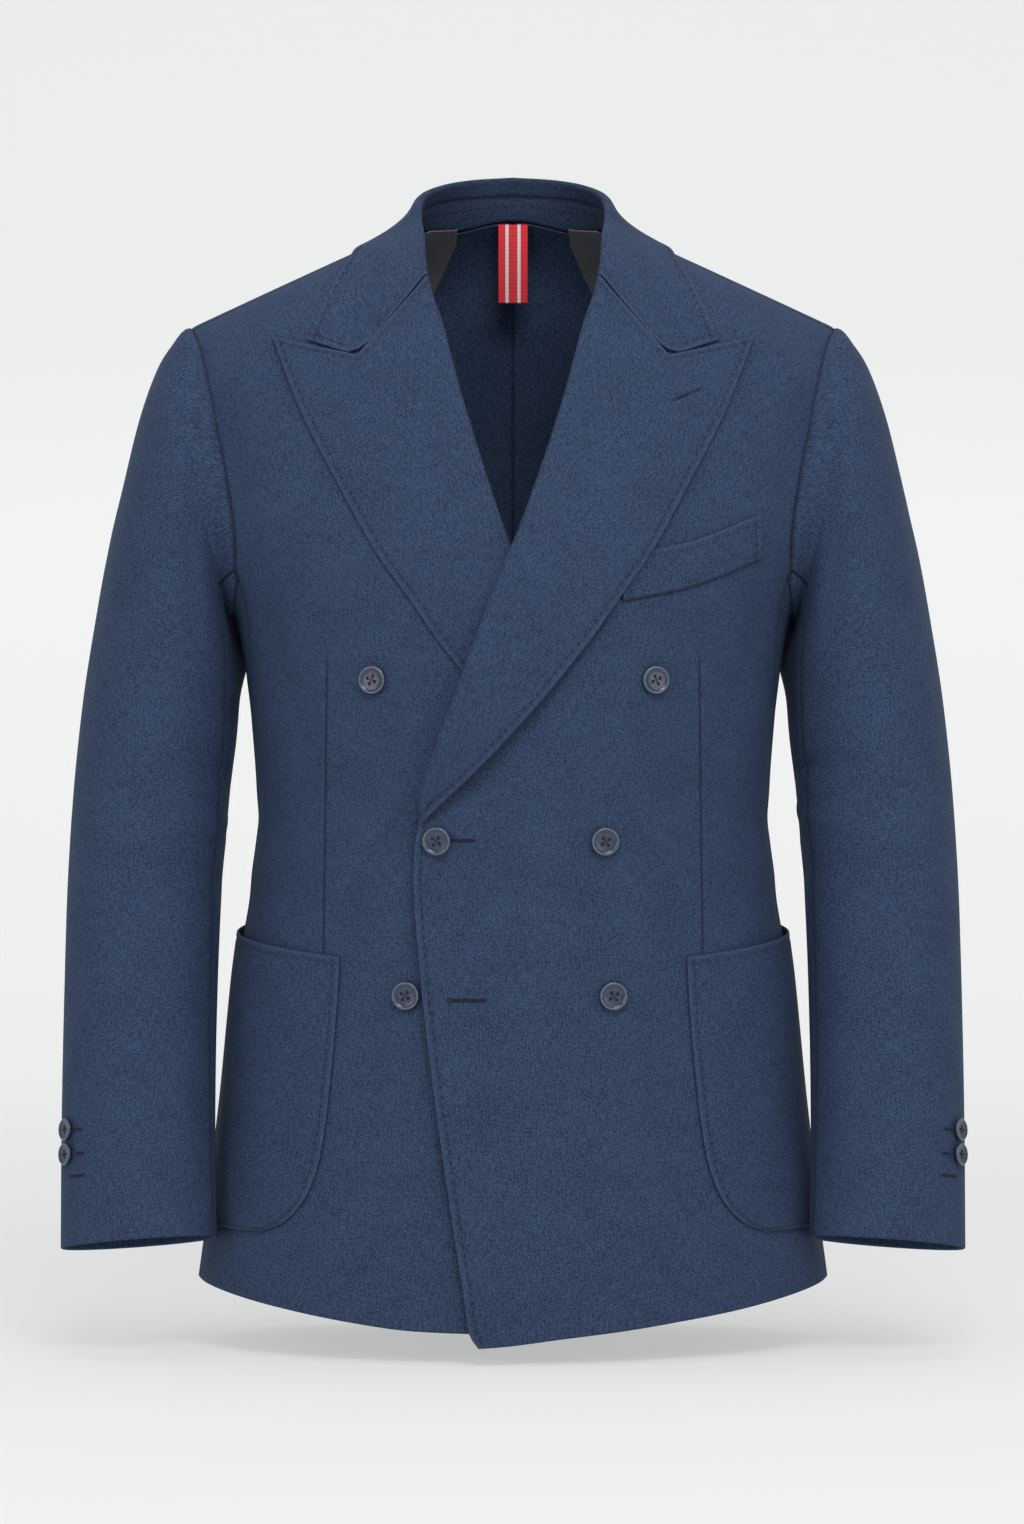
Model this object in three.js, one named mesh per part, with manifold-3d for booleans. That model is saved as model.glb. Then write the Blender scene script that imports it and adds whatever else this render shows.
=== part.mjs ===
// Double breasted blazer, worn shape with no wearer. Millimetres, +Z up, +X is the wearer's left,
// the front faces -Y. The origin lies midway between the two neck points.
import * as THREE from 'three';
import { mergeVertices } from 'three/addons/utils/BufferGeometryUtils.js';
import Module from 'manifold-3d';

const wasm = await Module();
wasm.setup();

// Cloth and seams: walls, half the turn left open at a seam, and gaps between plies
const WALL = 1.6;
const LINING_WALL = 1.0;
const SEAM_TURN = 0.0014;
const PLY_GAP = 0.9;
const ROLL_GAP = 0.7;
const ROLL_ANGLES = [-90, -55, -20, 15, 50];
const LINING_GAP = 1.5;

// Shoulders: a sloped ridge from neck point to tip, rounded over to front and back
const NECK_POINT = { x: 76, z: 12.7 };
const RIDGE_SOFTNESS = 15;
const SHOULDER_SLOPE = 0.461;
const SHOULDER_ROLL = 55;
const RIDGE_Y = 5;
const SHOULDER_SEAM_ANGLE = 19.6;
const SQUARENESS = 2.25;
const ARMPIT_Z = -229;
const ARMHOLE_DEPTH = 21;
const ARMHOLE_DIP_FROM = -360;
const SKIRT_Z = -640;

// Rows of the body panels: shares of the skirt's height, then counts, then shoulder roll angles
const SKIRT_ROWS = [0, 0.07, 0.38, 0.69];
const BODY_ROWS = 9;
const YOKE_ROWS = 4;
const FRONT_TOP_ANGLES = [70, 50, 34, SHOULDER_SEAM_ANGLE];
const BACK_TOP_ANGLES = [70, 56];
// Distances from the centre line where a search along a row starts
const NEAR_MIDDLE = 100;
const NEAR_SIDE = 190;

// Half width, front and back of the body at each height
const BODY = [
  { z: 60, half: 236, front: -38, back: 95 },
  { z: 0, half: 236, front: -62, back: 90 },
  { z: -55, half: 236, front: -80, back: 97 },
  { z: -100, half: 234, front: -98, back: 106 },
  { z: -150, half: 230, front: -110, back: 114 },
  { z: -200, half: 216, front: -120, back: 116 },
  { z: -226, half: 203, front: -124, back: 114 },
  { z: -250, half: 191, front: -126, back: 110 },
  { z: -275, half: 185, front: -127, back: 105 },
  { z: -300, half: 181.5, front: -128, back: 100 },
  { z: -322, half: 179, front: -127, back: 95 },
  { z: -377, half: 175.5, front: -123, back: 87 },
  { z: -432, half: 178.5, front: -121, back: 88 },
  { z: -500, half: 190, front: -121, back: 95 },
  { z: -600, half: 201, front: -122, back: 103 },
  { z: -700, half: 215, front: -124, back: 109 },
  { z: -760, half: 222, front: -125, back: 112 },
];

// Roll line of the lapel, then the front edge below the break; x is measured from the centre
// line towards the panel's own side, so a negative x laps past the centre
const BREAK_Z = -385;
const INNER_EDGE = [
  { z: 16, x: 63.5 },
  { z: -14, x: 61.5 },
  { z: -41, x: 56.5 },
  { z: -57, x: 51 },
  { z: -107, x: 38 },
  { z: -159, x: 22 },
  { z: -201, x: 7.5 },
  { z: -234, x: -5.9 },
  { z: -271, x: -19 },
  { z: -314, x: -33.5 },
  { z: -359, x: -49.5 },
  { z: -385, x: -58 },
  { z: -410, x: -62.5 },
  { z: -441, x: -63.4 },
  { z: -497, x: -59 },
  { z: -535, x: -55 },
  { z: -586, x: -48.6 },
  { z: -660, x: -38 },
  { z: -698, x: -32 },
  { z: -727, x: -27.5 },
  { z: -736, x: -21.5 },
];

// Hem height by distance from the centre line
const HEM = [
  { x: -30, z: -735.5 },
  { x: 0, z: -733.5 },
  { x: 30, z: -729.5 },
  { x: 97, z: -721.5 },
  { x: 154, z: -713 },
  { x: 216, z: -701 },
];
// The right front's hem is cut shorter where the left front laps over it
const UNDER_HEM = { rise: 7, from: -25, to: 85 };
const BACK_HEM_Z = -706;
const BACK_HEM_SWEEP = { from: 90, to: 216 };

// Armhole seam by height, on the front and on the back
const ARMHOLE = [
  { z: -50, front: 222, back: 222 },
  { z: -70, front: 213, back: 216 },
  { z: -104, front: 204, back: 208 },
  { z: -142, front: 196.5, back: 202 },
  { z: -175, front: 190.5, back: 197 },
  { z: -199, front: 187.5, back: 193 },
  { z: -229, front: 186, back: 188.5 },
];

// Side panel seams as turns round the body, 90 at the side
const SIDE_SEAMS = [
  { z: -229, front: 66.4, back: 111.4 },
  { z: -270, front: 74, back: 113 },
  { z: -322, front: 81, back: 115 },
  { z: -430, front: 82, back: 117 },
  { z: -736, front: 82, back: 116 },
];

// Neck seam on the back, by the angle of the shoulder roll
const NECKLINE = [
  { s: 6, angle: 44, x: 0 },
  { s: 5, angle: 37.6, x: 36 },
  { s: 4, angle: 21.7, x: 60 },
  { s: 3, angle: 0, x: 69 },
  { s: 2, angle: -19, x: 66.5 },
];

// Lapel outline
const GORGE = { x: 59.5, z: -29.8 };
const NOTCH = { x: 103.2, z: -81.8 };
const PEAK = { x: 160, z: -67.6 };
const NOTCH_SHARE = 0.42;
const LAPEL_TOP = { share: 0.3, bend: 1.4 };
// Share of a leaf that its roll heads for, and where the leaf has settled on the cloth below
const ROLL_HEADS_FOR = 0.1;
const LAPEL_SETTLES = 0.85;
const COLLAR_SETTLES = 0.7;
const LAPEL_EDGE = [
  { z: -67.6, x: 160 },
  { z: -114, x: 142 },
  { z: -158, x: 120 },
  { z: -212, x: 90 },
  { z: -240, x: 70 },
  { z: -276, x: 45 },
  { z: -311, x: 16.5 },
  { z: -355, x: -23.5 },
  { z: -377, x: -45 },
  { z: -389, x: -56.5 },
];
// Radius of the soft roll and clearance under the outer edge, for each lapel
const LAPEL_ROLL = [
  { z: -30, leftRoll: 2.6, leftEdge: 3.2, rightRoll: 2.6, rightEdge: 3.2 },
  { z: -110, leftRoll: 2.7, leftEdge: 3.2, rightRoll: 2.4, rightEdge: 3 },
  { z: -150, leftRoll: 2.8, leftEdge: 3.6, rightRoll: 2.2, rightEdge: 2.5 },
  { z: -210, leftRoll: 3.2, leftEdge: 4.8, rightRoll: 1.6, rightEdge: 2.5 },
  { z: -270, leftRoll: 4.2, leftEdge: 4.8, rightRoll: 1.6, rightEdge: 2.5 },
  { z: -330, leftRoll: 5.4, leftEdge: 6.5, rightRoll: 1.6, rightEdge: 2.5 },
  { z: -365, leftRoll: 4.6, leftEdge: 6.5, rightRoll: 1.6, rightEdge: 2.5 },
  { z: -389, leftRoll: 2.2, leftEdge: 3.5, rightRoll: 1.6, rightEdge: 2.5 },
];

// How far the left front stands off the form where it laps over the right one, with the
// distances from the centre line and the heights between which the lift grows
const LAP = {
  lapel: 6,
  skirt: 3,
  from: 120,
  full: 62,
  top: -120,
  topFull: -198,
  low: -392,
  lowFull: -450,
};

// Collar: fold line, and where its outer edge lies on the form
const COLLAR_CORNER = { x: 136.8, z: -70 };
const COLLAR_LEG = { short: 1.5, long: 10, from: 1.6, to: 2.6 };
const COLLAR_ROLL = 2.6;
const COLLAR_CLEAR = 2.9;
const COLLAR_SWELL = -6;
const COLLAR_LEAF = 6;
const COLLAR_CROWN = [{ out: -0.2, up: 0.45 }, { out: 0.55, up: 0.9 }];
const COLLAR_END_SHARE = 0.6;
const COLLAR_END = { reach: 1.1, bend: 1.3 };
const COLLAR_TURNS_UP = { from: 1.3, to: 2.4 };
const GORGE_GAP = 0.6;
const STAND_LIFT = 1.7;
const FOLD = [
  { s: 0, x: 59.2, y: -74, z: -28.4 },
  { s: 1, x: 62, y: -52, z: -6 },
  { s: 2, x: 63.5, y: -26, z: 16 },
  { s: 3, x: 60.8, y: 3, z: 34.5 },
  { s: 4, x: 48.5, y: 33, z: 45 },
  { s: 5, x: 28, y: 53, z: 51.5 },
  { s: 6, x: 0, y: 62, z: 54.5 },
];
const COLLAR_EDGE = [
  { s: 0, x: 136.8, y: -80, z: -70 },
  { s: 1, x: 125, y: -64, z: -43 },
  { s: 2, x: 113.5, y: -43, z: -17 },
  { s: 3, x: 105, y: -6, z: -1 },
  { s: 4, x: 90, y: 45, z: 1 },
  { s: 5, x: 51, y: 73, z: 8 },
  { s: 6, x: 0, y: 85, z: 12 },
];
// Places along the collar, from its left end (0) to the centre back (6)
const COLLAR_STATIONS = [0, 0.35, 0.8, 1.3, 1.75, 2.1, 2.6, 3.1, 3.6, 4.1, 4.6, 5.2, 6];
const STAND_FROM = 2.6;
const STAND_GAP = 0.5;

// Sleeve rings: outer and inner point, centre depth and half depth
const SLEEVE = [
  { s: 1, outX: 230, outZ: -62, inX: 194.8, inZ: -255, y: 5, deep: 67 },
  { s: 2, outX: 242, outZ: -81, inX: 193.2, inZ: -264, y: 4, deep: 70 },
  { s: 3, outX: 254.5, outZ: -116, inX: 190.5, inZ: -276, y: 3, deep: 70.5 },
  { s: 4, outX: 266, outZ: -163, inX: 189, inZ: -292, y: 2, deep: 69 },
  { s: 5, outX: 277, outZ: -210, inX: 188.6, inZ: -312, y: 1, deep: 66.5 },
  { s: 6, outX: 285.5, outZ: -258, inX: 190.3, inZ: -336, y: 0, deep: 64 },
  { s: 7, outX: 292.6, outZ: -306, inX: 193.3, inZ: -362, y: -4, deep: 61.5 },
  { s: 8, outX: 298.6, outZ: -366, inX: 196.9, inZ: -402, y: -9, deep: 58.5 },
  { s: 9, outX: 302, outZ: -432, inX: 199.8, inZ: -451, y: -18, deep: 55 },
  { s: 10, outX: 303.2, outZ: -518, inX: 201.5, inZ: -523, y: -32, deep: 49 },
  { s: 11, outX: 303.3, outZ: -598, inX: 201.5, inZ: -597, y: -47, deep: 42 },
  { s: 12, outX: 302.4, outZ: -677, inX: 199.6, inZ: -669, y: -62, deep: 36 },
];
const SLEEVE_SQUARENESS = 2.1;
const SLEEVE_ROWS = [0, 0.5, 1, 1.5, 2, 2.5, 3, 4, 5, 6, 7, 8, 9, 10, 11, 12];
const CUFF_SLANT = { rise: 6.5, from: 9, to: 12 };
const SLEEVE_GAP = { side: 1, under: 3.2, out: 0.99, down: 0.15 };
const ARMHOLE_STEPS = { side: 12, under: 8 };
const SLEEVE_SEAM_TURN = 0.4;
// Seams of the sleeve as turns round it: 0 outside, 90 front, 180 inside, 270 back
const SLEEVE_SEAMS = [
  { s: 0, elbow: -72, forearm: 138 },
  { s: 4, elbow: -66, forearm: 146 },
  { s: 8, elbow: -48, forearm: 156 },
  { s: 12, elbow: -4, forearm: 168 },
];

// Breast welt: upper edge by distance from the centre line
const WELT_HEIGHT = 29.5;
const WELT = [
  { x: 71, z: -216 },
  { x: 88, z: -212.5 },
  { x: 113, z: -207 },
  { x: 131, z: -200.8 },
  { x: 164, z: -186.7 },
];

// Patch pocket: front edge and back edge (a turn round the body) at each height
const POCKET = [
  { z: -480.5, x: 115, turn: 104 },
  { z: -500, x: 116, turn: 104.4 },
  { z: -527, x: 118, turn: 105 },
  { z: -560, x: 121, turn: 105.5 },
  { z: -598, x: 125.5, turn: 105 },
  { z: -622, x: 130.5, turn: 104 },
  { z: -640, x: 138, turn: 102 },
  { z: -653, x: 148, turn: 99 },
  { z: -660, x: 158, turn: 95.5 },
  { z: -663.5, x: 168, turn: 92 },
];
const POCKET_RISE = 18;
const POCKET_GAPE = { out: 3, fade: 5 };

// Lining at the inside of the back shoulder: drops below the ridge at its two edges
const SHOULDER_LINING = [
  { topX: 41, topDrop: 12, lowX: 42, lowDrop: 24 },
  { topX: 58, topDrop: 7, lowX: 59, lowDrop: 46 },
  { topX: 72, topDrop: 3, lowX: 80, lowDrop: 73 },
  { topX: 112, topDrop: 2.5, lowX: 115, lowDrop: 93 },
  { topX: 160, topDrop: 2.5, lowX: 156, lowDrop: 99 },
  { topX: 205, topDrop: 2.5, lowX: 190, lowDrop: 96 },
];

const NECK_TAB = { width: 20, top: 24, bottom: -30, stand: 3.5, curl: 2 };

// Buttons
const FRONT_BUTTON = 19;
const CUFF_BUTTON = 15;
const FRONT_BUTTONS = [
  { name: 'upper_left', side: 1, x: 92, z: -297, on: 1 },
  { name: 'upper_right', side: -1, x: 92, z: -297, on: -1 },
  { name: 'middle_left', side: 1, x: 59, z: -403, on: 1 },
  { name: 'middle_right', side: 1, x: -48.6, z: -402.5, on: 1 },
  { name: 'lower_left', side: 1, x: 65, z: -505, on: 1 },
  { name: 'lower_right', side: -1, x: 70.3, z: -505, on: -1 },
];
// Half section of a front button: radius and height above the cloth
const BUTTON_PROFILE = [
  { r: 0, h: 0 },
  { r: 2.4, h: 0 },
  { r: 2.2, h: 1.2 },
  { r: 6.5, h: 1.3 },
  { r: 9.5, h: 2.8 },
  { r: 8.8, h: 4.4 },
  { r: 7.8, h: 4.5 },
  { r: 6.6, h: 3.8 },
  { r: 0, h: 3.5 },
];
const BUTTON_SIDES = 12;
const BUTTON_HOLE = { radius: 0.95, off: 1.55, deep: 2.2, sides: 5 };
const BUTTON_FACE = 3.6;
const FRONT_SEAT = -0.05;
const CUFF_SEAT = 0.3;
const CUFF_BUTTON_TURN = 30;
const CUFF_BUTTON_ROWS = [11.02, 11.23];

const { degToRad, lerp, clamp, smoothstep } = THREE.MathUtils;
const QUARTER = Math.PI / 2;
const FORM_PASSES = 7;
const NORMAL_TURN = 0.02;

// Smooth value of one column of a table at a place between its rows
function follow(rows, by, key, at) {
  const last = rows.length - 1;
  const way = Math.sign(rows[last][by] - rows[0][by]);
  let i = 0;
  while (i < last - 1 && way * (at - rows[i + 1][by]) > 0) i += 1;
  const slope = (k) => {
    const before = rows[Math.max(k - 1, 0)];
    const after = rows[Math.min(k + 1, last)];
    return (after[key] - before[key]) / (after[by] - before[by]);
  };
  const [a, b] = [rows[i], rows[i + 1]];
  const span = b[by] - a[by];
  const u = clamp((at - a[by]) / span, 0, 1);
  const rise = b[key] - a[key];
  const [m0, m1] = [slope(i) * span, slope(i + 1) * span];
  return a[key] + u * (m0 + u * (3 * rise - 2 * m0 - m1 + u * (m0 + m1 - 2 * rise)));
}

const soften = (x) => Math.hypot(x, RIDGE_SOFTNESS);
const ridgeZ = (x) => NECK_POINT.z - SHOULDER_SLOPE * (soften(x) - soften(NECK_POINT.x));
const rollLength = SHOULDER_ROLL * QUARTER;

// Point of the worn form: turn round the body (0 centre front, 90 side, 180 centre back, in
// radians) and distance below the shoulder ridge along the cloth; a negative distance goes
// over the ridge to the other side
function formPoint(turn, along) {
  const t = along < 0 ? Math.PI - turn : turn;
  const down = Math.abs(along);
  const roll = Math.min(down / SHOULDER_ROLL, QUARTER);
  const fall = SHOULDER_ROLL * (1 - Math.cos(roll)) + Math.max(down - rollLength, 0);
  let [x, z] = [0, 0];
  for (let pass = 0; pass < FORM_PASSES; pass += 1) {
    x = follow(BODY, 'z', 'half', z) * Math.sin(t);
    z = ridgeZ(x) - fall;
  }
  const reach = follow(BODY, 'z', t > QUARTER ? 'back' : 'front', z) - RIDGE_Y;
  const share = (1 - Math.min(Math.abs(Math.sin(t)), 1) ** SQUARENESS) ** (1 / SQUARENESS);
  return new THREE.Vector3(x, RIDGE_Y + reach * share * Math.sin(roll), z);
}

function formNormal(turn, along) {
  const round = formPoint(turn + NORMAL_TURN, along).sub(formPoint(turn - NORMAL_TURN, along));
  const down = formPoint(turn, along + 1).sub(formPoint(turn, along - 1));
  return down.cross(round).normalize();
}

// A point moved out from the form; out is negative on the inside
function onForm(turn, along, out) {
  return formPoint(turn, along).addScaledVector(formNormal(turn, along), out);
}

function alongFor(drop) {
  if (drop >= SHOULDER_ROLL) return rollLength + drop - SHOULDER_ROLL;
  return SHOULDER_ROLL * Math.acos(clamp(1 - drop / SHOULDER_ROLL, -1, 1));
}

const turnAt = (x, z) => Math.asin(clamp(x / follow(BODY, 'z', 'half', z), -1, 1));

// The same point given by its height and its distance from the centre line
const frontAt = (x, z, out) => onForm(turnAt(x, z), alongFor(ridgeZ(x) - z), out);
const backAt = (x, z, out) => onForm(Math.PI - turnAt(x, z), alongFor(ridgeZ(x) - z), out);

// Pushes a point out until it clears the form
function clearOfForm(point, out) {
  const drop = ridgeZ(point.x) - point.z;
  const back = point.y > RIDGE_Y;
  const t = turnAt(point.x, point.z);
  const share = (1 - Math.abs(Math.sin(t)) ** SQUARENESS) ** (1 / SQUARENESS);
  const reach = Math.abs(follow(BODY, 'z', back ? 'back' : 'front', point.z) - RIDGE_Y) * share;
  const level = 1 - drop / SHOULDER_ROLL;
  const angle = Math.atan2(Math.abs(point.y - RIDGE_Y) / reach, level);
  const along = drop > SHOULDER_ROLL ? alongFor(drop) : angle * SHOULDER_ROLL;
  const turn = back ? Math.PI - t : t;
  const normal = formNormal(turn, along);
  const short = out - point.clone().sub(formPoint(turn, along)).dot(normal);
  return short > 0 ? point.clone().addScaledVector(normal, short) : point;
}

// Lift of a front over the form: only the left front laps over something
function lapLift(side, x, z) {
  if (side < 0) return 0;
  const across = 1 - smoothstep(x, LAP.full, LAP.from);
  const above = smoothstep(-z, -LAP.top, -LAP.topFull);
  const below = smoothstep(-z, -LAP.low, -LAP.lowFull);
  return across * above * lerp(LAP.lapel, LAP.skirt, below);
}

// A closed wall from a grid of points at the middle of its thickness
function wall(grid, side = 1, thick = WALL) {
  const rows = grid.map((row) => row.map((p) => new THREE.Vector3(p.x * side, p.y, p.z)));
  const [nj, ni] = [rows.length, rows[0].length];
  const pick = (j, i) => rows[clamp(j, 0, nj - 1)][clamp(i, 0, ni - 1)];
  const faces = [[], []];
  rows.forEach((row, j) => row.forEach((p, i) => {
    const along = pick(j + 1, i).clone().sub(pick(j - 1, i));
    const across = pick(j, i + 1).clone().sub(pick(j, i - 1));
    const normal = along.cross(across).normalize();
    faces[0].push(p.clone().addScaledVector(normal, thick / 2));
    faces[1].push(p.clone().addScaledVector(normal, -thick / 2));
  }));
  const points = [...faces[0], ...faces[1]];
  const far = nj * ni;
  const at = (j, i, face) => face * far + j * ni + i;
  const index = [];
  const quad = (a, b, c, d) => index.push(a, b, c, a, c, d);
  for (let j = 0; j < nj - 1; j += 1) {
    for (let i = 0; i < ni - 1; i += 1) {
      quad(at(j, i, 0), at(j + 1, i, 0), at(j + 1, i + 1, 0), at(j, i + 1, 0));
      quad(at(j, i, 1), at(j, i + 1, 1), at(j + 1, i + 1, 1), at(j + 1, i, 1));
    }
    quad(at(j, 0, 0), at(j, 0, 1), at(j + 1, 0, 1), at(j + 1, 0, 0));
    quad(at(j, ni - 1, 0), at(j + 1, ni - 1, 0), at(j + 1, ni - 1, 1), at(j, ni - 1, 1));
  }
  for (let i = 0; i < ni - 1; i += 1) {
    quad(at(0, i, 0), at(0, i + 1, 0), at(0, i + 1, 1), at(0, i, 1));
    quad(at(nj - 1, i, 0), at(nj - 1, i, 1), at(nj - 1, i + 1, 1), at(nj - 1, i + 1, 0));
  }
  return closedBody(points, index);
}

// Geometry with its faces turned outwards
function closedBody(points, index) {
  let volume = 0;
  for (let k = 0; k < index.length; k += 3) {
    const [a, b, c] = [points[index[k]], points[index[k + 1]], points[index[k + 2]]];
    volume += a.dot(b.clone().cross(c));
  }
  if (volume < 0) index.reverse();
  const geometry = new THREE.BufferGeometry().setFromPoints(points);
  geometry.setIndex(index);
  geometry.computeVertexNormals();
  return geometry;
}

const steps = (count) => Array.from({ length: count + 1 }, (_, k) => k / count);

// Rows shared by the fronts and the backs, each a height by distance from the centre line
function panelRows(hem = hemFront) {
  const skirt = SKIRT_ROWS.map((k) => (x) => lerp(hem(x), SKIRT_Z, k));
  const body = steps(BODY_ROWS).map((k) => () => lerp(SKIRT_Z, ARMPIT_Z, k));
  const yoke = steps(YOKE_ROWS).slice(1).map((k) => (x) => (
    lerp(ARMPIT_Z, ridgeZ(x) - SHOULDER_ROLL, k)
  ));
  return [...skirt, ...body, ...yoke];
}

// End of a row where it meets a seam whose place depends on the height
function meet(height, seam) {
  let x = seam(height(NEAR_MIDDLE));
  for (let pass = 0; pass < FORM_PASSES; pass += 1) x = seam(height(x));
  return x;
}

const hemFront = (x) => follow(HEM, 'x', 'z', x);
const hemBack = (x) => {
  const { from, to } = BACK_HEM_SWEEP;
  return lerp(BACK_HEM_Z, hemFront(to), smoothstep(x, from, to));
};
const hemUnder = (x) => {
  const { rise, from, to } = UNDER_HEM;
  return hemFront(x) + rise * (1 - smoothstep(x, from, to));
};
const innerEdge = (z) => follow(INNER_EDGE, 'z', 'x', z);
const sideSeam = (z, key) => degToRad(follow(SIDE_SEAMS, 'z', key, z));
const halfAt = (z) => follow(BODY, 'z', 'half', z);
const armhole = (z, key) => follow(ARMHOLE, 'z', key, z);

// Distance from the centre line where a row passes a turn round the body
function xOnRow(height, turn) {
  let x = halfAt(height(NEAR_MIDDLE)) * Math.sin(turn);
  for (let pass = 0; pass < FORM_PASSES; pass += 1) x = halfAt(height(x)) * Math.sin(turn);
  return x;
}

// Where a row ends at the side: the armhole above the armpit, the side seam below it
function outerTurn(height, key) {
  const atSide = height(NEAR_SIDE);
  if (atSide > ARMPIT_Z + 1) {
    const x = meet(height, (z) => armhole(z, key));
    const t = turnAt(x, height(x)) - SEAM_TURN;
    return key === 'back' ? Math.PI - t : t;
  }
  const turn = sideSeam(atSide, key);
  return key === 'back' ? turn + SEAM_TURN : turn - SEAM_TURN;
}

function frontPanel(side, columns = 14) {
  const roll = FRONT_TOP_ANGLES.map((angle) => degToRad(angle));
  const top = roll.map((angle) => (x) => ridgeZ(x) - SHOULDER_ROLL * (1 - Math.cos(angle)));
  const grid = [...panelRows(side < 0 ? hemUnder : hemFront), ...top].map((height) => {
    const x0 = meet(height, innerEdge);
    const t0 = turnAt(x0, height(x0));
    const t1 = outerTurn(height, 'front');
    return steps(columns).map((f) => {
      const t = lerp(t0, t1, f);
      const x = xOnRow(height, t);
      const z = height(x);
      return onForm(t, alongFor(ridgeZ(x) - z), lapLift(side, x, z) - WALL / 2);
    });
  });
  return wall(grid, side);
}

function backPanel(side, columns = 9) {
  const angles = [...BACK_TOP_ANGLES, ...NECKLINE.map((row) => row.angle)];
  const below = panelRows(hemBack).map((height) => {
    const t1 = outerTurn(height, 'back');
    return steps(columns).map((f) => {
      const t = lerp(Math.PI - SEAM_TURN, t1, f);
      const x = xOnRow(height, t);
      return onForm(t, alongFor(ridgeZ(x) - height(x)), -WALL / 2);
    });
  });
  const over = angles.map((angle) => {
    const along = degToRad(angle) * SHOULDER_ROLL;
    const key = angle < 0 ? 'front' : 'back';
    const height = (x) => ridgeZ(x) - SHOULDER_ROLL * (1 - Math.cos(degToRad(angle)));
    const outer = meet(height, (z) => armhole(z, key));
    const inner = angle > NECKLINE[0].angle ? 0 : follow(NECKLINE, 'angle', 'x', angle);
    const t0 = Math.PI - turnAt(inner, height(inner)) - SEAM_TURN;
    const t1 = Math.PI - turnAt(outer, height(outer)) + SEAM_TURN;
    return steps(columns).map((f) => onForm(lerp(t0, t1, f), along, -WALL / 2));
  });
  return wall([...below, ...over], side);
}

// Side panel: the same rows as its neighbours, dipping under the armhole at the top
function sidePanel(side, columns = 5) {
  const rows = panelRows().slice(0, -YOKE_ROWS);
  const grid = rows.map((row, j) => {
    const level = row(NEAR_SIDE);
    const t0 = sideSeam(level, 'front') + SEAM_TURN;
    const t1 = sideSeam(level, 'back') - SEAM_TURN;
    return steps(columns).map((f) => {
      const t = lerp(t0, t1, f);
      const height = t > QUARTER ? panelRows(hemBack)[j] : panelRows(hemFront)[j];
      const x = xOnRow(height, t);
      const share = smoothstep(level, ARMHOLE_DIP_FROM, ARMPIT_Z);
      const z = height(x) - ARMHOLE_DEPTH * (1 - (2 * f - 1) ** 2) * share;
      return onForm(t, alongFor(ridgeZ(x) - z), -WALL / 2);
    });
  });
  return wall(grid, side);
}

// Lapel: a soft roll that starts at the front's edge, then a leaf lying on the front
function lapel(side, rows = 14, leafColumns = 7) {
  const [rollKey, edgeKey] = side > 0 ? ['leftRoll', 'leftEdge'] : ['rightRoll', 'rightEdge'];
  const topRow = (f) => (f < NOTCH_SHARE
    ? { x: lerp(GORGE.x, NOTCH.x, f / NOTCH_SHARE), z: lerp(GORGE.z, NOTCH.z, f / NOTCH_SHARE) }
    : {
      x: lerp(NOTCH.x, PEAK.x, (f - NOTCH_SHARE) / (1 - NOTCH_SHARE)),
      z: lerp(NOTCH.z, PEAK.z, (f - NOTCH_SHARE) / (1 - NOTCH_SHARE)),
    });
  const grid = steps(rows - 1).map((k) => {
    const rollZ = lerp(GORGE.z, BREAK_Z, k);
    const rollX = innerEdge(rollZ);
    const edgeZ = lerp(PEAK.z, LAPEL_EDGE.at(-1).z, k);
    const edgeX = follow(LAPEL_EDGE, 'z', 'x', edgeZ);
    const dip = Math.max(1 - k / LAPEL_TOP.share, 0) ** LAPEL_TOP.bend;
    const leafPlace = (f) => {
      const top = topRow(f);
      return {
        x: lerp(rollX, edgeX, f) + dip * (top.x - lerp(GORGE.x, PEAK.x, f)),
        z: lerp(rollZ, edgeZ, f) + dip * (top.z - lerp(GORGE.z, PEAK.z, f)),
      };
    };
    const radius = follow(LAPEL_ROLL, 'z', rollKey, rollZ);
    const clear = follow(LAPEL_ROLL, 'z', edgeKey, edgeZ);
    const base = lapLift(side, rollX, rollZ) - WALL / 2;
    const arc = rollArc(rollX, rollZ, leafPlace(ROLL_HEADS_FOR), radius, base);
    const leaf = steps(leafColumns).map((f) => {
      const { x, z } = leafPlace(f);
      const height = lerp(2 * radius, clear, smoothstep(f, 0, LAPEL_SETTLES));
      return frontAt(x, z, lapLift(side, x, z) - WALL / 2 + height);
    });
    return [...arc, ...leaf];
  });
  return wall(grid, side);
}

// Point of the collar's fold or edge on the left half
const collarPoint = (rows, s) => new THREE.Vector3(
  follow(rows, 's', 'x', s),
  follow(rows, 's', 'y', s),
  follow(rows, 's', 'z', s),
);

// Middle of the back's cloth at the neck seam
function neckSeam(s) {
  const angle = degToRad(follow(NECKLINE, 's', 'angle', s));
  const x = follow(NECKLINE, 's', 'x', s);
  const z = ridgeZ(x) - SHOULDER_ROLL * (1 - Math.cos(angle));
  return onForm(Math.PI - turnAt(x, z), angle * SHOULDER_ROLL, -WALL / 2);
}

// Bend of the collar's end along the gorge seam and up its front edge
function collarEnd(f) {
  const [from, to, u] = f < COLLAR_END_SHARE
    ? [GORGE, NOTCH, f / COLLAR_END_SHARE]
    : [NOTCH, COLLAR_CORNER, (f - COLLAR_END_SHARE) / (1 - COLLAR_END_SHARE)];
  return {
    x: lerp(from.x, to.x, u) - lerp(GORGE.x, COLLAR_CORNER.x, f),
    z: lerp(from.z, to.z, u) - lerp(GORGE.z, COLLAR_CORNER.z, f) + GORGE_GAP,
  };
}

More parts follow.
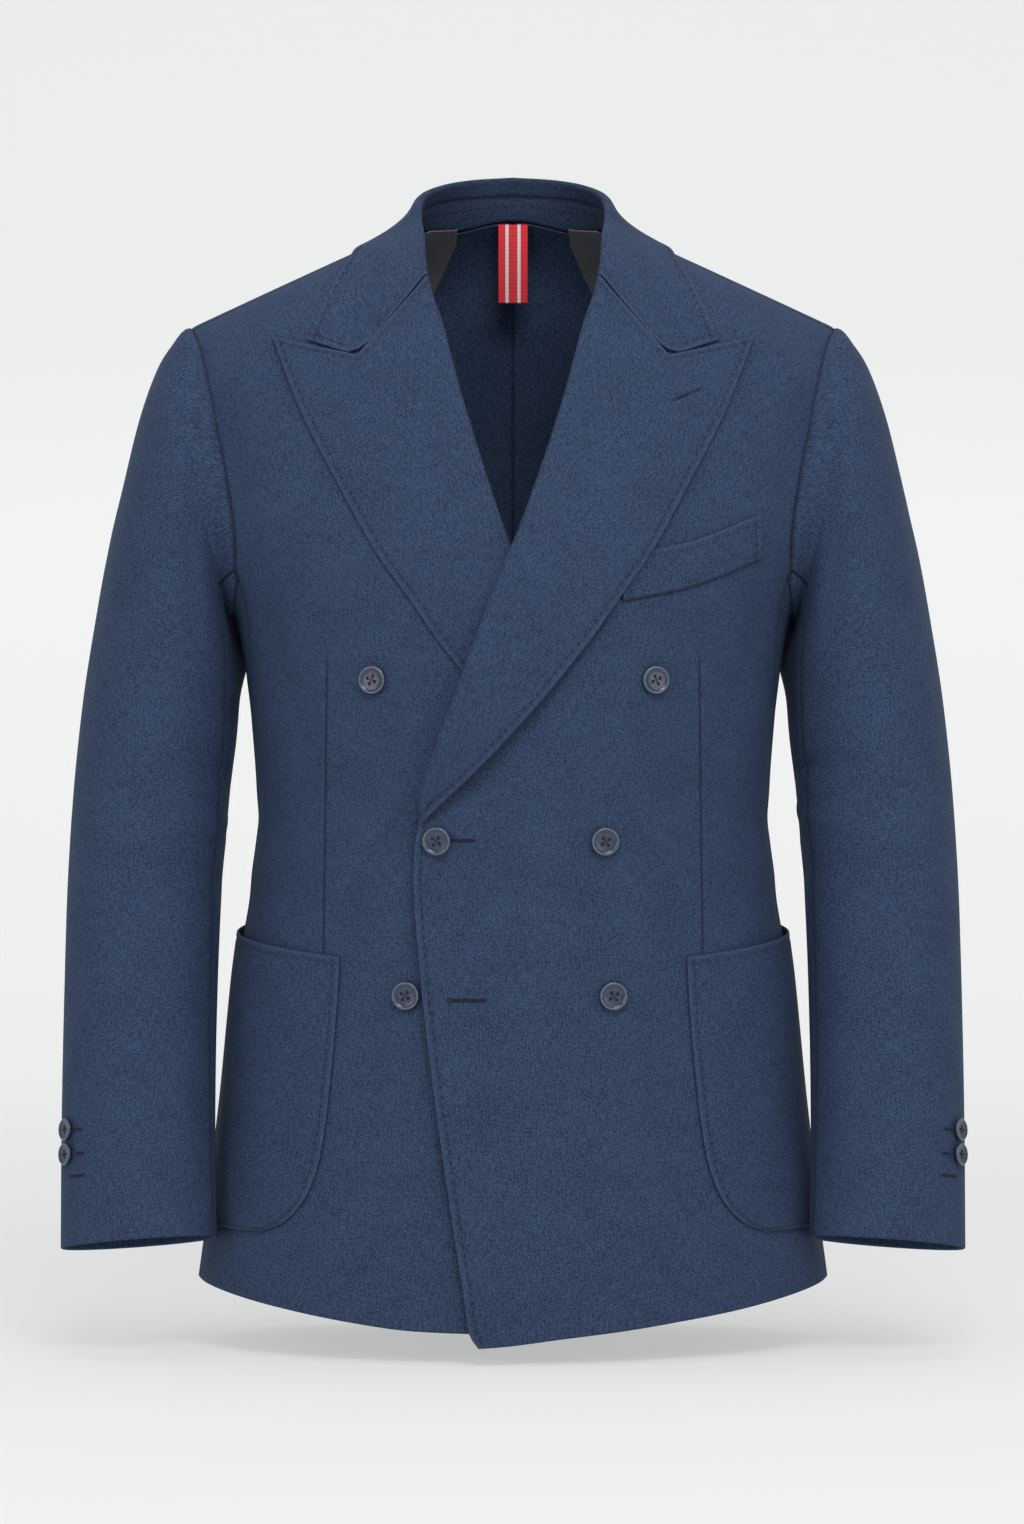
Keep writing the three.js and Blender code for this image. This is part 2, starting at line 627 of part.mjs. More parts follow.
// Points across a soft roll that starts at the edge of a front
function rollArc(x, z, next, radius, base) {
  const start = frontAt(x, z, 0);
  const normal = frontAt(x, z, 1).sub(start);
  const way = frontAt(next.x, next.z, 0).sub(start).normalize();
  return ROLL_ANGLES.map((angle) => start.clone()
    .addScaledVector(way, -ROLL_GAP - radius * Math.cos(degToRad(angle)))
    .addScaledVector(normal, base + radius * (1 + Math.sin(degToRad(angle)))));
}

// One section of the collar where it lies on the front, continuing the lapel's roll
function collarOnFront(s, fold, edge) {
  const x0 = innerEdge(fold.z);
  const dip = Math.max(1 - s / COLLAR_END.reach, 0) ** COLLAR_END.bend;
  const place = (f) => {
    const bend = collarEnd(f);
    return { x: lerp(x0, edge.x, f) + dip * bend.x, z: lerp(fold.z, edge.z, f) + dip * bend.z };
  };
  const leaf = steps(COLLAR_LEAF).map((f) => {
    const { x, z } = place(f);
    const out = lerp(2 * COLLAR_ROLL, COLLAR_CLEAR, smoothstep(f, 0, COLLAR_SETTLES));
    return frontAt(x, z, out - WALL / 2);
  });
  return [...rollArc(x0, fold.z, place(ROLL_HEADS_FOR), COLLAR_ROLL, -WALL / 2), ...leaf];
}

// Length of the collar's inner leg, which runs out towards the gorge
const legLength = (s) => {
  const { short, long, from, to } = COLLAR_LEG;
  return lerp(short, long, smoothstep(s, from, to));
};

// One section where the collar stands round the neck: leg, fold and fall
function collarOnNeck(fold, edge, foot, long) {
  const away = new THREE.Vector3(fold.x, fold.y - RIDGE_Y, 0).normalize();
  const down = foot.clone().sub(fold).normalize();
  const heights = [long, (long + COLLAR_ROLL) / 2, Math.min(COLLAR_ROLL, long / 3)];
  const leg = heights.map((h) => fold.clone().addScaledVector(down, h));
  const crown = COLLAR_CROWN.map(({ out, up }) => fold.clone()
    .addScaledVector(away, out * COLLAR_ROLL)
    .add(new THREE.Vector3(0, 0, up * COLLAR_ROLL)));
  const leaf = steps(COLLAR_LEAF).map((f) => {
    const p = fold.clone().addScaledVector(away, 2 * COLLAR_ROLL * (1 - f)).lerp(edge, f);
    p.addScaledVector(away, COLLAR_SWELL * Math.sin(Math.PI * f));
    return clearOfForm(p, COLLAR_CLEAR - WALL / 2);
  });
  return [...leg, ...crown, ...leaf];
}

// Both halves of the collar's sections, from its left end round the back to its right end
function bothHalves(sections) {
  const mirrored = sections.slice(0, -1).reverse()
    .map((row) => row.map((p) => new THREE.Vector3(-p.x, p.y, p.z)));
  return [...sections, ...mirrored];
}

function collar() {
  const sections = COLLAR_STATIONS.map((s) => {
    const fold = collarPoint(FOLD, s);
    const edge = clearOfForm(collarPoint(COLLAR_EDGE, s), COLLAR_CLEAR - WALL / 2);
    const round = smoothstep(s, COLLAR_TURNS_UP.from, COLLAR_TURNS_UP.to);
    const neck = collarOnNeck(fold, edge, neckSeam(Math.max(s, 2)), legLength(s));
    if (round === 1) return neck;
    const front = collarOnFront(s, fold, collarPoint(COLLAR_EDGE, s));
    return front.map((p, i) => p.lerp(neck[i], round));
  });
  return wall(bothHalves(sections));
}

// Stand of the collar, from the neck seam up to the collar's inner leg
function collarStand() {
  const sections = COLLAR_STATIONS.filter((s) => s >= STAND_FROM).map((s) => {
    const foot = neckSeam(s);
    const fold = collarPoint(FOLD, s);
    const height = foot.distanceTo(fold);
    const up = fold.sub(foot).normalize();
    const top = height - legLength(s) - STAND_GAP;
    const heights = [STAND_LIFT, (STAND_LIFT + top) / 2, top];
    return heights.map((h) => foot.clone().addScaledVector(up, h));
  });
  return wall(bothHalves(sections));
}

// Points of the armhole seam, from the shoulder tip down the front and up the back
function armholeLoop() {
  const tip = meet(ridgeZ, (z) => armhole(z, 'front'));
  const tipZ = ridgeZ(tip);
  const side = (key, at) => steps(ARMHOLE_STEPS.side).map((u) => {
    const z = lerp(tipZ, ARMPIT_Z, u * u);
    return at(Math.min(armhole(z, key), tip), z, -WALL / 2);
  });
  const [from, to] = [sideSeam(ARMPIT_Z, 'front'), sideSeam(ARMPIT_Z, 'back')];
  const bottom = steps(ARMHOLE_STEPS.under).slice(1, -1).map((f) => {
    const t = lerp(from, to, f);
    const z = ARMPIT_Z - ARMHOLE_DEPTH * (1 - (2 * f - 1) ** 2);
    return onForm(t, alongFor(ridgeZ(halfAt(z) * Math.sin(t)) - z), -WALL / 2);
  });
  const loop = [...side('front', frontAt), ...bottom, ...side('back', backAt).reverse()];
  const lengths = [0];
  for (let i = 1; i < loop.length; i += 1) {
    lengths.push(lengths[i - 1] + loop[i].distanceTo(loop[i - 1]));
  }
  return { loop, lengths };
}

const ARMHOLE_LOOP = armholeLoop();

function armholeAt(turn) {
  const { loop, lengths } = ARMHOLE_LOOP;
  const at = ((turn / 360 + 1) % 1) * lengths.at(-1);
  let i = 0;
  while (i < lengths.length - 2 && lengths[i + 1] < at) i += 1;
  return loop[i].clone().lerp(loop[i + 1], (at - lengths[i]) / (lengths[i + 1] - lengths[i]));
}

// Point at the middle of a sleeve's cloth: place along it, and turn round it in degrees
function sleevePoint(s, turn) {
  const angle = degToRad(turn);
  const [c, n] = [Math.cos(angle), Math.sin(angle)];
  if (s < 1) {
    const low = Math.max(-c, 0);
    const gap = lerp(SLEEVE_GAP.side, SLEEVE_GAP.under, low);
    const seam = armholeAt(turn);
    seam.x += gap * SLEEVE_GAP.out;
    seam.z -= gap * SLEEVE_GAP.down;
    return s === 0 ? seam : seam.lerp(sleevePoint(1, turn), s);
  }
  const value = (key) => follow(SLEEVE, 's', key, s);
  const across = Math.sign(c) * Math.abs(c) ** (2 / SLEEVE_SQUARENESS);
  const forward = Math.sign(n) * Math.abs(n) ** (2 / SLEEVE_SQUARENESS);
  const [outX, outZ, inX, inZ] = [value('outX'), value('outZ'), value('inX'), value('inZ')];
  const slant = CUFF_SLANT.rise * forward * smoothstep(s, CUFF_SLANT.from, CUFF_SLANT.to);
  return new THREE.Vector3(
    (outX + inX) / 2 + across * (outX - inX) / 2,
    value('y') - forward * value('deep'),
    (outZ + inZ) / 2 + across * (outZ - inZ) / 2 + slant,
  );
}

function sleevePiece(side, piece, columns) {
  const grid = SLEEVE_ROWS.map((s) => {
    const elbow = follow(SLEEVE_SEAMS, 's', 'elbow', s);
    const forearm = follow(SLEEVE_SEAMS, 's', 'forearm', s);
    const [from, to] = piece === 'top' ? [elbow, forearm] : [forearm, elbow + 360];
    const turnTo = (f) => lerp(from + SLEEVE_SEAM_TURN, to - SLEEVE_SEAM_TURN, f);
    return steps(columns).map((f) => sleevePoint(s, turnTo(f)));
  });
  return wall(grid, side);
}

// Breast welt, laid on the left front
function breastWelt(columns = 8) {
  const grid = steps(2).map((k) => steps(columns).map((f) => {
    const x = lerp(WELT[0].x, WELT.at(-1).x, f);
    const z = follow(WELT, 'x', 'z', x) - WELT_HEIGHT * k;
    return frontAt(x, z, lapLift(1, x, z) + PLY_GAP + WALL / 2);
  }));
  return wall(grid);
}

// Patch pocket, laid on the front and the side panel, its mouth standing a little open
function patchPocket(side, columns = 10) {
  const [mouth, foot] = [POCKET[0].z, POCKET.at(-1).z];
  const grid = POCKET.map((row) => {
    const k = (row.z - mouth) / (foot - mouth);
    const [t0, t1] = [turnAt(row.x, row.z), degToRad(row.turn)];
    return steps(columns).map((f) => {
      const t = lerp(t0, t1, f);
      const z = row.z + POCKET_RISE * f * (1 - k);
      const x = halfAt(z) * Math.sin(t);
      const gape = POCKET_GAPE.out * (1 - k) ** POCKET_GAPE.fade * Math.sin(Math.PI * f);
      const out = lapLift(side, x, z) + PLY_GAP + WALL / 2 + gape;
      return onForm(t, alongFor(ridgeZ(x) - z), out);
    });
  });
  return wall(grid, side);
}

function shoulderLining(side, columns = 8, rows = 5) {
  const table = SHOULDER_LINING.map((row, i) => ({ ...row, i }));
  const out = -(WALL + LINING_GAP + LINING_WALL / 2);
  const grid = steps(columns).map((f) => {
    const value = (key) => follow(table, 'i', key, f * (table.length - 1));
    return steps(rows).map((k) => {
      const x = lerp(value('topX'), value('lowX'), k);
      return backAt(x, ridgeZ(x) - lerp(value('topDrop'), value('lowDrop'), k), out);
    });
  });
  return wall(grid, side, LINING_WALL);
}

// Ribbon tab that hangs from the neck seam inside the back
function neckTab() {
  const seam = neckSeam(6);
  const grid = steps(6).map((k) => steps(1).map((f) => new THREE.Vector3(
    (f - 0.5) * NECK_TAB.width,
    seam.y - NECK_TAB.stand + NECK_TAB.curl * k * k,
    lerp(NECK_TAB.top, NECK_TAB.bottom, k),
  )));
  return wall(grid, 1, LINING_WALL);
}

function toSolid(geometry) {
  const bare = geometry.clone();
  bare.deleteAttribute('normal');
  bare.deleteAttribute('uv');
  const merged = mergeVertices(bare, 1e-4);
  const corners = [];
  for (let k = 0; k < merged.index.count; k += 3) {
    const [a, b, c] = [0, 1, 2].map((n) => merged.index.getX(k + n));
    if (a !== b && b !== c && a !== c) corners.push(a, b, c);
  }
  return new wasm.Manifold(new wasm.Mesh({
    numProp: 3,
    vertProperties: new Float32Array(merged.attributes.position.array),
    triVerts: new Uint32Array(corners),
  }));
}

function toGeometry(solid) {
  const mesh = solid.getMesh();
  const geometry = new THREE.BufferGeometry();
  const places = new THREE.BufferAttribute(new Float32Array(mesh.vertProperties), 3);
  geometry.setAttribute('position', places);
  geometry.setIndex([...mesh.triVerts]);
  geometry.computeVertexNormals();
  return geometry;
}

// Four-hole button on a thread shank, dished inside its rim; +Z is its face
function button(diameter) {
  const size = diameter / FRONT_BUTTON;
  const profile = BUTTON_PROFILE.map(({ r, h }) => new THREE.Vector2(r * size, h * size));
  const body = new THREE.LatheGeometry(profile, BUTTON_SIDES).rotateX(QUARTER);
  let solid = toSolid(body);
  const { radius, off, deep, sides } = BUTTON_HOLE;
  for (const [sx, sy] of [[1, 1], [-1, 1], [-1, -1], [1, -1]]) {
    const hole = new THREE.CylinderGeometry(radius * size, radius * size, deep, sides);
    hole.rotateX(QUARTER);
    hole.translate(sx * off * size, sy * off * size, BUTTON_FACE * size);
    solid = solid.subtract(toSolid(hole));
  }
  return toGeometry(solid);
}

const finish = (color, roughness, metalness = 0) => ({ color, roughness, metalness });
const CLOTH = finish('#38455e', 0.9);
const LINING = finish('#2a282f', 0.45);
const RIBBON = finish('#dc3741', 0.6);
const BUTTON = finish('#2c323f', 0.28);

const blazer = new THREE.Group();
function add(name, geometry, look) {
  const mesh = new THREE.Mesh(geometry, new THREE.MeshStandardMaterial(look));
  mesh.name = name;
  blazer.add(mesh);
  return mesh;
}

for (const [label, side] of [['left', 1], ['right', -1]]) {
  add(`front_${label}`, frontPanel(side), CLOTH);
  add(`side_${label}`, sidePanel(side), CLOTH);
  add(`back_${label}`, backPanel(side), CLOTH);
  add(`lapel_${label}`, lapel(side), CLOTH);
  add(`top_sleeve_${label}`, sleevePiece(side, 'top', 12), CLOTH);
  add(`under_sleeve_${label}`, sleevePiece(side, 'under', 8), CLOTH);
  add(`pocket_${label}`, patchPocket(side), CLOTH);
  add(`shoulder_lining_${label}`, shoulderLining(side), LINING);
}
add('collar', collar(), CLOTH);
add('collar_stand', collarStand(), CLOTH);
add('breast_welt', breastWelt(), CLOTH);
add('neck_tab', neckTab(), RIBBON);

// Sets a button on the cloth, facing out along the normal
function sew(name, diameter, foot, normal, seat) {
  const mesh = add(name, button(diameter), BUTTON);
  mesh.position.copy(foot).addScaledVector(normal, seat);
  mesh.quaternion.setFromUnitVectors(new THREE.Vector3(0, 0, 1), normal);
}

const mirrored = (v, side) => new THREE.Vector3(v.x * side, v.y, v.z);

for (const { name, side, x, z } of FRONT_BUTTONS) {
  const foot = frontAt(x, z, lapLift(side, x, z));
  const normal = frontAt(x, z, 1).sub(frontAt(x, z, 0));
  sew(`button_${name}`, FRONT_BUTTON, mirrored(foot, side), mirrored(normal, side), FRONT_SEAT);
}

for (const [label, side] of [['left', 1], ['right', -1]]) {
  for (const [k, s] of CUFF_BUTTON_ROWS.entries()) {
    const at = (ds, turn) => sleevePoint(s + ds, CUFF_BUTTON_TURN + turn);
    const normal = at(0, 1).sub(at(0, -1)).cross(at(0.1, 0).sub(at(-0.1, 0))).normalize();
    const foot = mirrored(at(0, 0).addScaledVector(normal, WALL / 2), side);
    sew(`cuff_button_${label}_${k + 1}`, CUFF_BUTTON, foot, mirrored(normal, side), CUFF_SEAT);
  }
}

export default blazer;
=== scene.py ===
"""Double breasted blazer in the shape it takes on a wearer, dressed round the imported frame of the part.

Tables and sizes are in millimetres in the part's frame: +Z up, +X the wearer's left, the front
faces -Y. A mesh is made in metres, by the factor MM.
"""

import logging
import math
from dataclasses import dataclass, field
from enum import Enum
from typing import Callable, Iterable, Optional, Sequence, Union

import bpy
import numpy as np
from mathutils import Matrix, Vector


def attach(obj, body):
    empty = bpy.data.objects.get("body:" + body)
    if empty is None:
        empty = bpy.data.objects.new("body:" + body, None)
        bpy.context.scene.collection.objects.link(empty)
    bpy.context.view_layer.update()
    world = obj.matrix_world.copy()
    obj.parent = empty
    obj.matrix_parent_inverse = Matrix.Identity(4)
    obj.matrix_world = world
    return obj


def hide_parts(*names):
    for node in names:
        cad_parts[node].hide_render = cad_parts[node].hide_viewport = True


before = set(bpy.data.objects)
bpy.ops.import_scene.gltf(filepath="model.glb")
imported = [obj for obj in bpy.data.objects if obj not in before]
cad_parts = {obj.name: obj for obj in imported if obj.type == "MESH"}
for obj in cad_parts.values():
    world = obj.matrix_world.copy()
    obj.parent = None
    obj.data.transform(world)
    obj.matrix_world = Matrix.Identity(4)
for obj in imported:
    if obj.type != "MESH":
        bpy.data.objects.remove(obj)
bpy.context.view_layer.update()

MM = 0.001
QUARTER = math.pi / 2
Points = np.ndarray
Number = Union[float, np.ndarray]
Pair = tuple[float, float]
Triple = tuple[float, float, float]
Shade = tuple[int, int, int]
Mesh = bpy.types.Mesh
Material = bpy.types.Material

log = logging.getLogger("blazer")

# Thickness of the cloth, and of the lining and the ribbon
WALL = 1.6
LINING_WALL = 1.0
# Half the turn between two panels at a seam, in radians
SEAM_TURN = 0.0014
# Air under a laid ply, beside a rolled edge and over the lining
PLY_GAP = 0.9
ROLL_GAP = 0.7
LINING_GAP = 1.5
# Spacing of the points that make up the cloth
SPACING = 4.5
# Share of the thickness by which a rounded rim stands out
RIM = 0.42
# Distance of the pick stitches from a folded edge, and the number of their line of points
STITCH_INSET = 4.4
STITCH_LINE = 3
# Foot of the armhole, and how far the side panel dips below it
ARMPIT_Z = -229.0
ARMHOLE_DEPTH = 21.0
# Angle of the shoulder's roll at the front's shoulder seam
SHOULDER_SEAM = 19.6
# The wearer's two hands, and the side of the centre line that each is on
HANDS = (("left", 1), ("right", -1))
# A place far behind the neck, which the outside of the pieces inside it faces away from
BEHIND = (0.0, 400.0)


def hermite(start: Number, rise: Number, leaves: Number, arrives: Number, u: Number) -> Number:
    """Points of a smooth curve that rises from its start, by its slopes at both ends."""
    bend = 3 * rise - 2 * leaves - arrives + u * (leaves + arrives - 2 * rise)
    return start + u * (leaves + u * bend)


def neighbours(count: int) -> tuple[Points, Points]:
    """Numbers of the places before and after each of a row of places."""
    order = np.arange(count)
    return np.maximum(order - 1, 0), np.minimum(order + 1, count - 1)


class Table:
    """Rows of named columns, with a smooth value at any place between the rows."""

    def __init__(self, by: str, names: str, rows: Sequence[Sequence[float]]) -> None:
        """Keeps the columns.

        Args:
            by: The column that places are given in.
            names: The names of the columns, in the order of a row.
            rows: The rows, with that column rising or falling.
        """
        self.columns = dict(zip(names.split(), np.array(rows, float).T))
        self.places = self.columns[by]
        self.way = math.copysign(1, self.places[-1] - self.places[0])

    def at(self, key: str, place: Number) -> Number:
        """Reads one column.

        Args:
            key: The column's name.
            place: Where to read it; past an end it keeps the end's value.

        Returns:
            The column's value at each place.
        """
        x, y = self.places, self.columns[key]
        before, after = neighbours(len(x))
        slope = (y[after] - y[before]) / (x[after] - x[before])
        i = np.searchsorted(self.way * x[1:-1], self.way * np.asarray(place, float))
        span = x[i + 1] - x[i]
        u = np.clip((place - x[i]) / span, 0, 1)
        return hermite(y[i], y[i + 1] - y[i], slope[i] * span, slope[i + 1] * span, u)


BODY = Table("z", "z half front back", [
    (60, 236, -38, 95), (0, 236, -62, 90), (-55, 236, -80, 97), (-100, 234, -98, 106),
    (-150, 230, -110, 114), (-200, 216, -120, 116), (-226, 203, -124, 114),
    (-250, 191, -126, 110), (-275, 185, -127, 105), (-300, 181.5, -128, 100),
    (-322, 179, -127, 95), (-377, 175.5, -123, 87), (-432, 178.5, -121, 88),
    (-500, 190, -121, 95), (-600, 201, -122, 103), (-700, 215, -124, 109),
    (-760, 222, -125, 112),
])
INNER_EDGE = Table("z", "z x", [
    (16, 63.5), (-14, 61.5), (-41, 56.5), (-57, 51), (-107, 38), (-159, 22), (-201, 7.5),
    (-234, -5.9), (-271, -19), (-314, -33.5), (-359, -49.5), (-385, -58), (-410, -62.5),
    (-441, -63.4), (-497, -59), (-535, -55), (-586, -48.6), (-660, -38), (-698, -32),
    (-727, -27.5), (-736, -21.5),
])
HEM = Table("x", "x z", [
    (-30, -735.5), (0, -733.5), (30, -729.5), (97, -721.5), (154, -713), (216, -701),
])
ARMHOLE = Table("z", "z front back", [
    (-50, 222, 222), (-70, 213, 216), (-104, 204, 208), (-142, 196.5, 202),
    (-175, 190.5, 197), (-199, 187.5, 193), (-229, 186, 188.5),
])
SIDE_SEAMS = Table("z", "z front back", [
    (-229, 66.4, 111.4), (-270, 74, 113), (-322, 81, 115), (-430, 82, 117), (-736, 82, 116),
])
NECKLINE_ROWS = [(6, 44, 0), (5, 37.6, 36), (4, 21.7, 60), (3, 0, 69), (2, -19, 66.5)]
NECKLINE = Table("s", "s angle x", NECKLINE_ROWS)
NECKLINE_BY_ANGLE = Table("angle", "s angle x", NECKLINE_ROWS)
LAPEL_EDGE = Table("z", "z x", [
    (-67.6, 160), (-114, 142), (-158, 120), (-212, 90), (-240, 70), (-276, 45),
    (-311, 16.5), (-355, -23.5), (-377, -45), (-389, -56.5),
])
LAPEL_ROLL = Table("z", "z left_roll left_edge right_roll right_edge", [
    (-30, 2.6, 3.2, 2.6, 3.2), (-110, 2.7, 3.2, 2.4, 3), (-150, 2.8, 3.6, 2.2, 2.5),
    (-210, 3.2, 5.2, 1.6, 2.5), (-270, 4.2, 7, 1.6, 2.5), (-330, 5.4, 11.5, 1.6, 2.5),
    (-365, 4.6, 12, 1.6, 2.5), (-389, 2.2, 4.5, 1.6, 2.5),
])
COLLAR_FOLD = Table("s", "s x y z", [
    (0, 59.2, -74, -28.4), (1, 62, -52, -6), (2, 63.5, -26, 16), (3, 60.8, 3, 34.5),
    (4, 48.5, 33, 45), (5, 28, 53, 51.5), (6, 0, 62, 54.5),
])
COLLAR_EDGE = Table("s", "s x y z", [
    (0, 136.8, -80, -70), (1, 125, -64, -43), (2, 113.5, -43, -17), (3, 105, -6, -1),
    (4, 90, 45, 1), (5, 51, 73, 8), (6, 0, 85, 12),
])
SLEEVE = Table("s", "s out_x out_z in_x in_z y deep", [
    (1, 230, -62, 194.8, -255, 5, 67), (2, 242, -81, 193.2, -264, 4, 70),
    (3, 254.5, -116, 190.5, -276, 3, 70.5), (4, 266, -163, 189, -292, 2, 69),
    (5, 277, -210, 188.6, -312, 1, 66.5), (6, 285.5, -258, 190.3, -336, 0, 64),
    (7, 292.6, -306, 193.3, -362, -4, 61.5), (8, 298.6, -366, 196.9, -402, -9, 58.5),
    (9, 302, -432, 199.8, -451, -18, 55), (10, 303.2, -518, 201.5, -523, -32, 49),
    (11, 303.3, -598, 201.5, -597, -47, 42), (12, 302.4, -677, 199.6, -669, -62, 36),
])
SLEEVE_SEAMS = Table("s", "s elbow forearm", [
    (0, -72, 138), (4, -66, 146), (8, -48, 156), (12, -4, 168),
])
WELT = Table("x", "x z", [
    (71, -216), (88, -212.5), (113, -207), (131, -200.8), (164, -186.7),
])
POCKET = Table("z", "z x turn", [
    (-480.5, 115, 104), (-500, 116, 104.4), (-527, 118, 105), (-560, 121, 105.5),
    (-598, 125.5, 105), (-622, 130.5, 104), (-640, 138, 102), (-653, 148, 99),
    (-660, 158, 95.5), (-663.5, 168, 92),
])
SHOULDER_LINING = Table("i", "i top_x top_drop low_x low_drop", [
    (0, 40, 12, 41, 15), (1, 58, 7, 59, 46), (2, 72, 3, 80, 73), (3, 112, 2.5, 115, 93),
    (4, 160, 2.5, 156, 99), (5, 205, 2.5, 190, 96),
])


def lerp(a: Number, b: Number, share: Number) -> Number:
    """Value at a share of the way from a to b."""
    return a + (b - a) * share


def smoothstep(x: Number, low: float, high: float) -> Number:
    """Soft step from 0 at low to 1 at high."""
    u = np.clip((np.asarray(x, float) - low) / (high - low), 0, 1)
    return u * u * (3 - 2 * u)


def bell(x: Number, width: float) -> Number:
    """Bell of height 1 and the given half width."""
    return np.exp(-((np.asarray(x, float) / width) ** 2))


def unit(vectors: Points) -> Points:
    """The same vectors at length 1."""
    return vectors / np.maximum(np.linalg.norm(vectors, axis=-1, keepdims=True), 1e-9)


def point3(x: Number, y: Number, z: Number) -> Points:
    """Points from their coordinates, which may be arrays."""
    return np.stack(np.broadcast_arrays(x, y, z), -1).astype(float)


def mirrored(points: Points, side: int) -> Points:
    """The points, or their mirror images where the side is -1."""
    return points * np.array([side, 1, 1])


@dataclass(frozen=True)
class Crease:
    """A soft ridge or trough: where it lies, its half width and its height."""

    place: float
    width: float
    height: float

    def at(self, d: Points) -> Points:
        """Its height at some distances."""
        return self.height * bell(d - self.place, self.width)


@dataclass(frozen=True)
class WornForm:
    """The hollow form that the garment fills out: sloped shoulders over an oval body."""

    neck_x: float = 76.0
    neck_z: float = 12.7
    softness: float = 15.0
    slope: float = 0.461
    roll: float = 55.0
    ridge_y: float = 5.0
    squareness: float = 2.25
    rounds: int = 7
    probe: float = 0.02

    def ridge(self, x: Number) -> Number:
        """Height of the shoulder ridge at a distance from the centre line."""
        at_neck = math.hypot(self.neck_x, self.softness)
        return self.neck_z - self.slope * (np.hypot(x, self.softness) - at_neck)

    def point(self, turn: Number, along: Number) -> Points:
        """Finds points of the form.

        Args:
            turn: Turn round the body in radians, 0 at the centre front and pi at the back.
            along: Distance down from the shoulder ridge; negative goes over it.

        Returns:
            The points, with their coordinates on the last axis.
        """
        turn, along = np.broadcast_arrays(np.asarray(turn, float), np.asarray(along, float))
        t = np.where(along < 0, math.pi - turn, turn)
        down = np.abs(along)
        roll = np.minimum(down / self.roll, QUARTER)
        fall = self.roll * (1 - np.cos(roll)) + np.maximum(down - self.roll * QUARTER, 0)
        x = z = np.zeros_like(fall)
        for _ in range(self.rounds):
            x = BODY.at("half", z) * np.sin(t)
            z = self.ridge(x) - fall
        reach = np.where(t > QUARTER, BODY.at("back", z), BODY.at("front", z)) - self.ridge_y
        return point3(x, self.ridge_y + reach * self.share(t) * np.sin(roll), z)

    def share(self, turn: Number) -> Number:
        """Share of the full depth at a turn round the body."""
        inside = 1 - np.minimum(np.abs(np.sin(turn)), 1) ** self.squareness
        return inside ** (1 / self.squareness)

    def normal(self, turn: Number, along: Number) -> Points:
        """Finds the outward directions of the form.

        Args:
            turn: Turn round the body in radians.
            along: Distance down from the shoulder ridge.

        Returns:
            Unit vectors, with their coordinates on the last axis.
        """
        turn, along = np.asarray(turn, float), np.asarray(along, float)
        round_it = self.point(turn + self.probe, along) - self.point(turn - self.probe, along)
        down = self.point(turn, along + 1) - self.point(turn, along - 1)
        return unit(np.cross(down, round_it))

    def on(self, turn: Number, along: Number, out: Number) -> Points:
        """Points moved out from the form by a distance."""
        return self.point(turn, along) + self.normal(turn, along) * np.asarray(out, float)[..., None]

    def at(self, turn: Number, x: Number, z: Number, out: Number) -> Points:
        """Points moved out from the form, by their turn, distance from the centre line and height."""
        return self.on(turn, self.along_for(self.ridge(x) - z), out)

    def along_for(self, drop: Number) -> Number:
        """Distance along the cloth for a drop below the shoulder ridge."""
        rolled = self.roll * np.arccos(np.clip(1 - np.asarray(drop, float) / self.roll, -1, 1))
        return np.where(drop >= self.roll, self.roll * QUARTER + drop - self.roll, rolled)

    def turn_at(self, x: Number, z: Number) -> Number:
        """Turn round the front for a distance from the centre line."""
        return np.arcsin(np.clip(x / BODY.at("half", z), -1, 1))

    def front_at(self, x: Number, z: Number, out: Number) -> Points:
        """Points over the front, by their distance from the centre line and height."""
        return self.at(self.turn_at(x, z), x, z, out)

    def back_at(self, x: Number, z: Number, out: Number) -> Points:
        """Points over the back, by their distance from the centre line and height."""
        return self.at(math.pi - self.turn_at(x, z), x, z, out)

    def clear(self, points: Points, out: float) -> Points:
        """Pushes points out until they clear the form.

        Args:
            points: The points.
            out: The least distance from the form.

        Returns:
            The points, moved where they were too close.
        """
        x, y, z = points[..., 0], points[..., 1], points[..., 2]
        drop = self.ridge(x) - z
        back = y > self.ridge_y
        t = self.turn_at(x, z)
        depth = np.where(back, BODY.at("back", z), BODY.at("front", z)) - self.ridge_y
        reach = np.abs(depth) * self.share(t)
        angle = np.arctan2(np.abs(y - self.ridge_y) / np.maximum(reach, 1e-6), 1 - drop / self.roll)
        along = np.where(drop > self.roll, self.along_for(drop), angle * self.roll)
        turn = np.where(back, math.pi - t, t)
        normal = self.normal(turn, along)
        short = out - np.sum((points - self.point(turn, along)) * normal, -1)
        return points + normal * np.maximum(short, 0)[..., None]


FORM = WornForm()


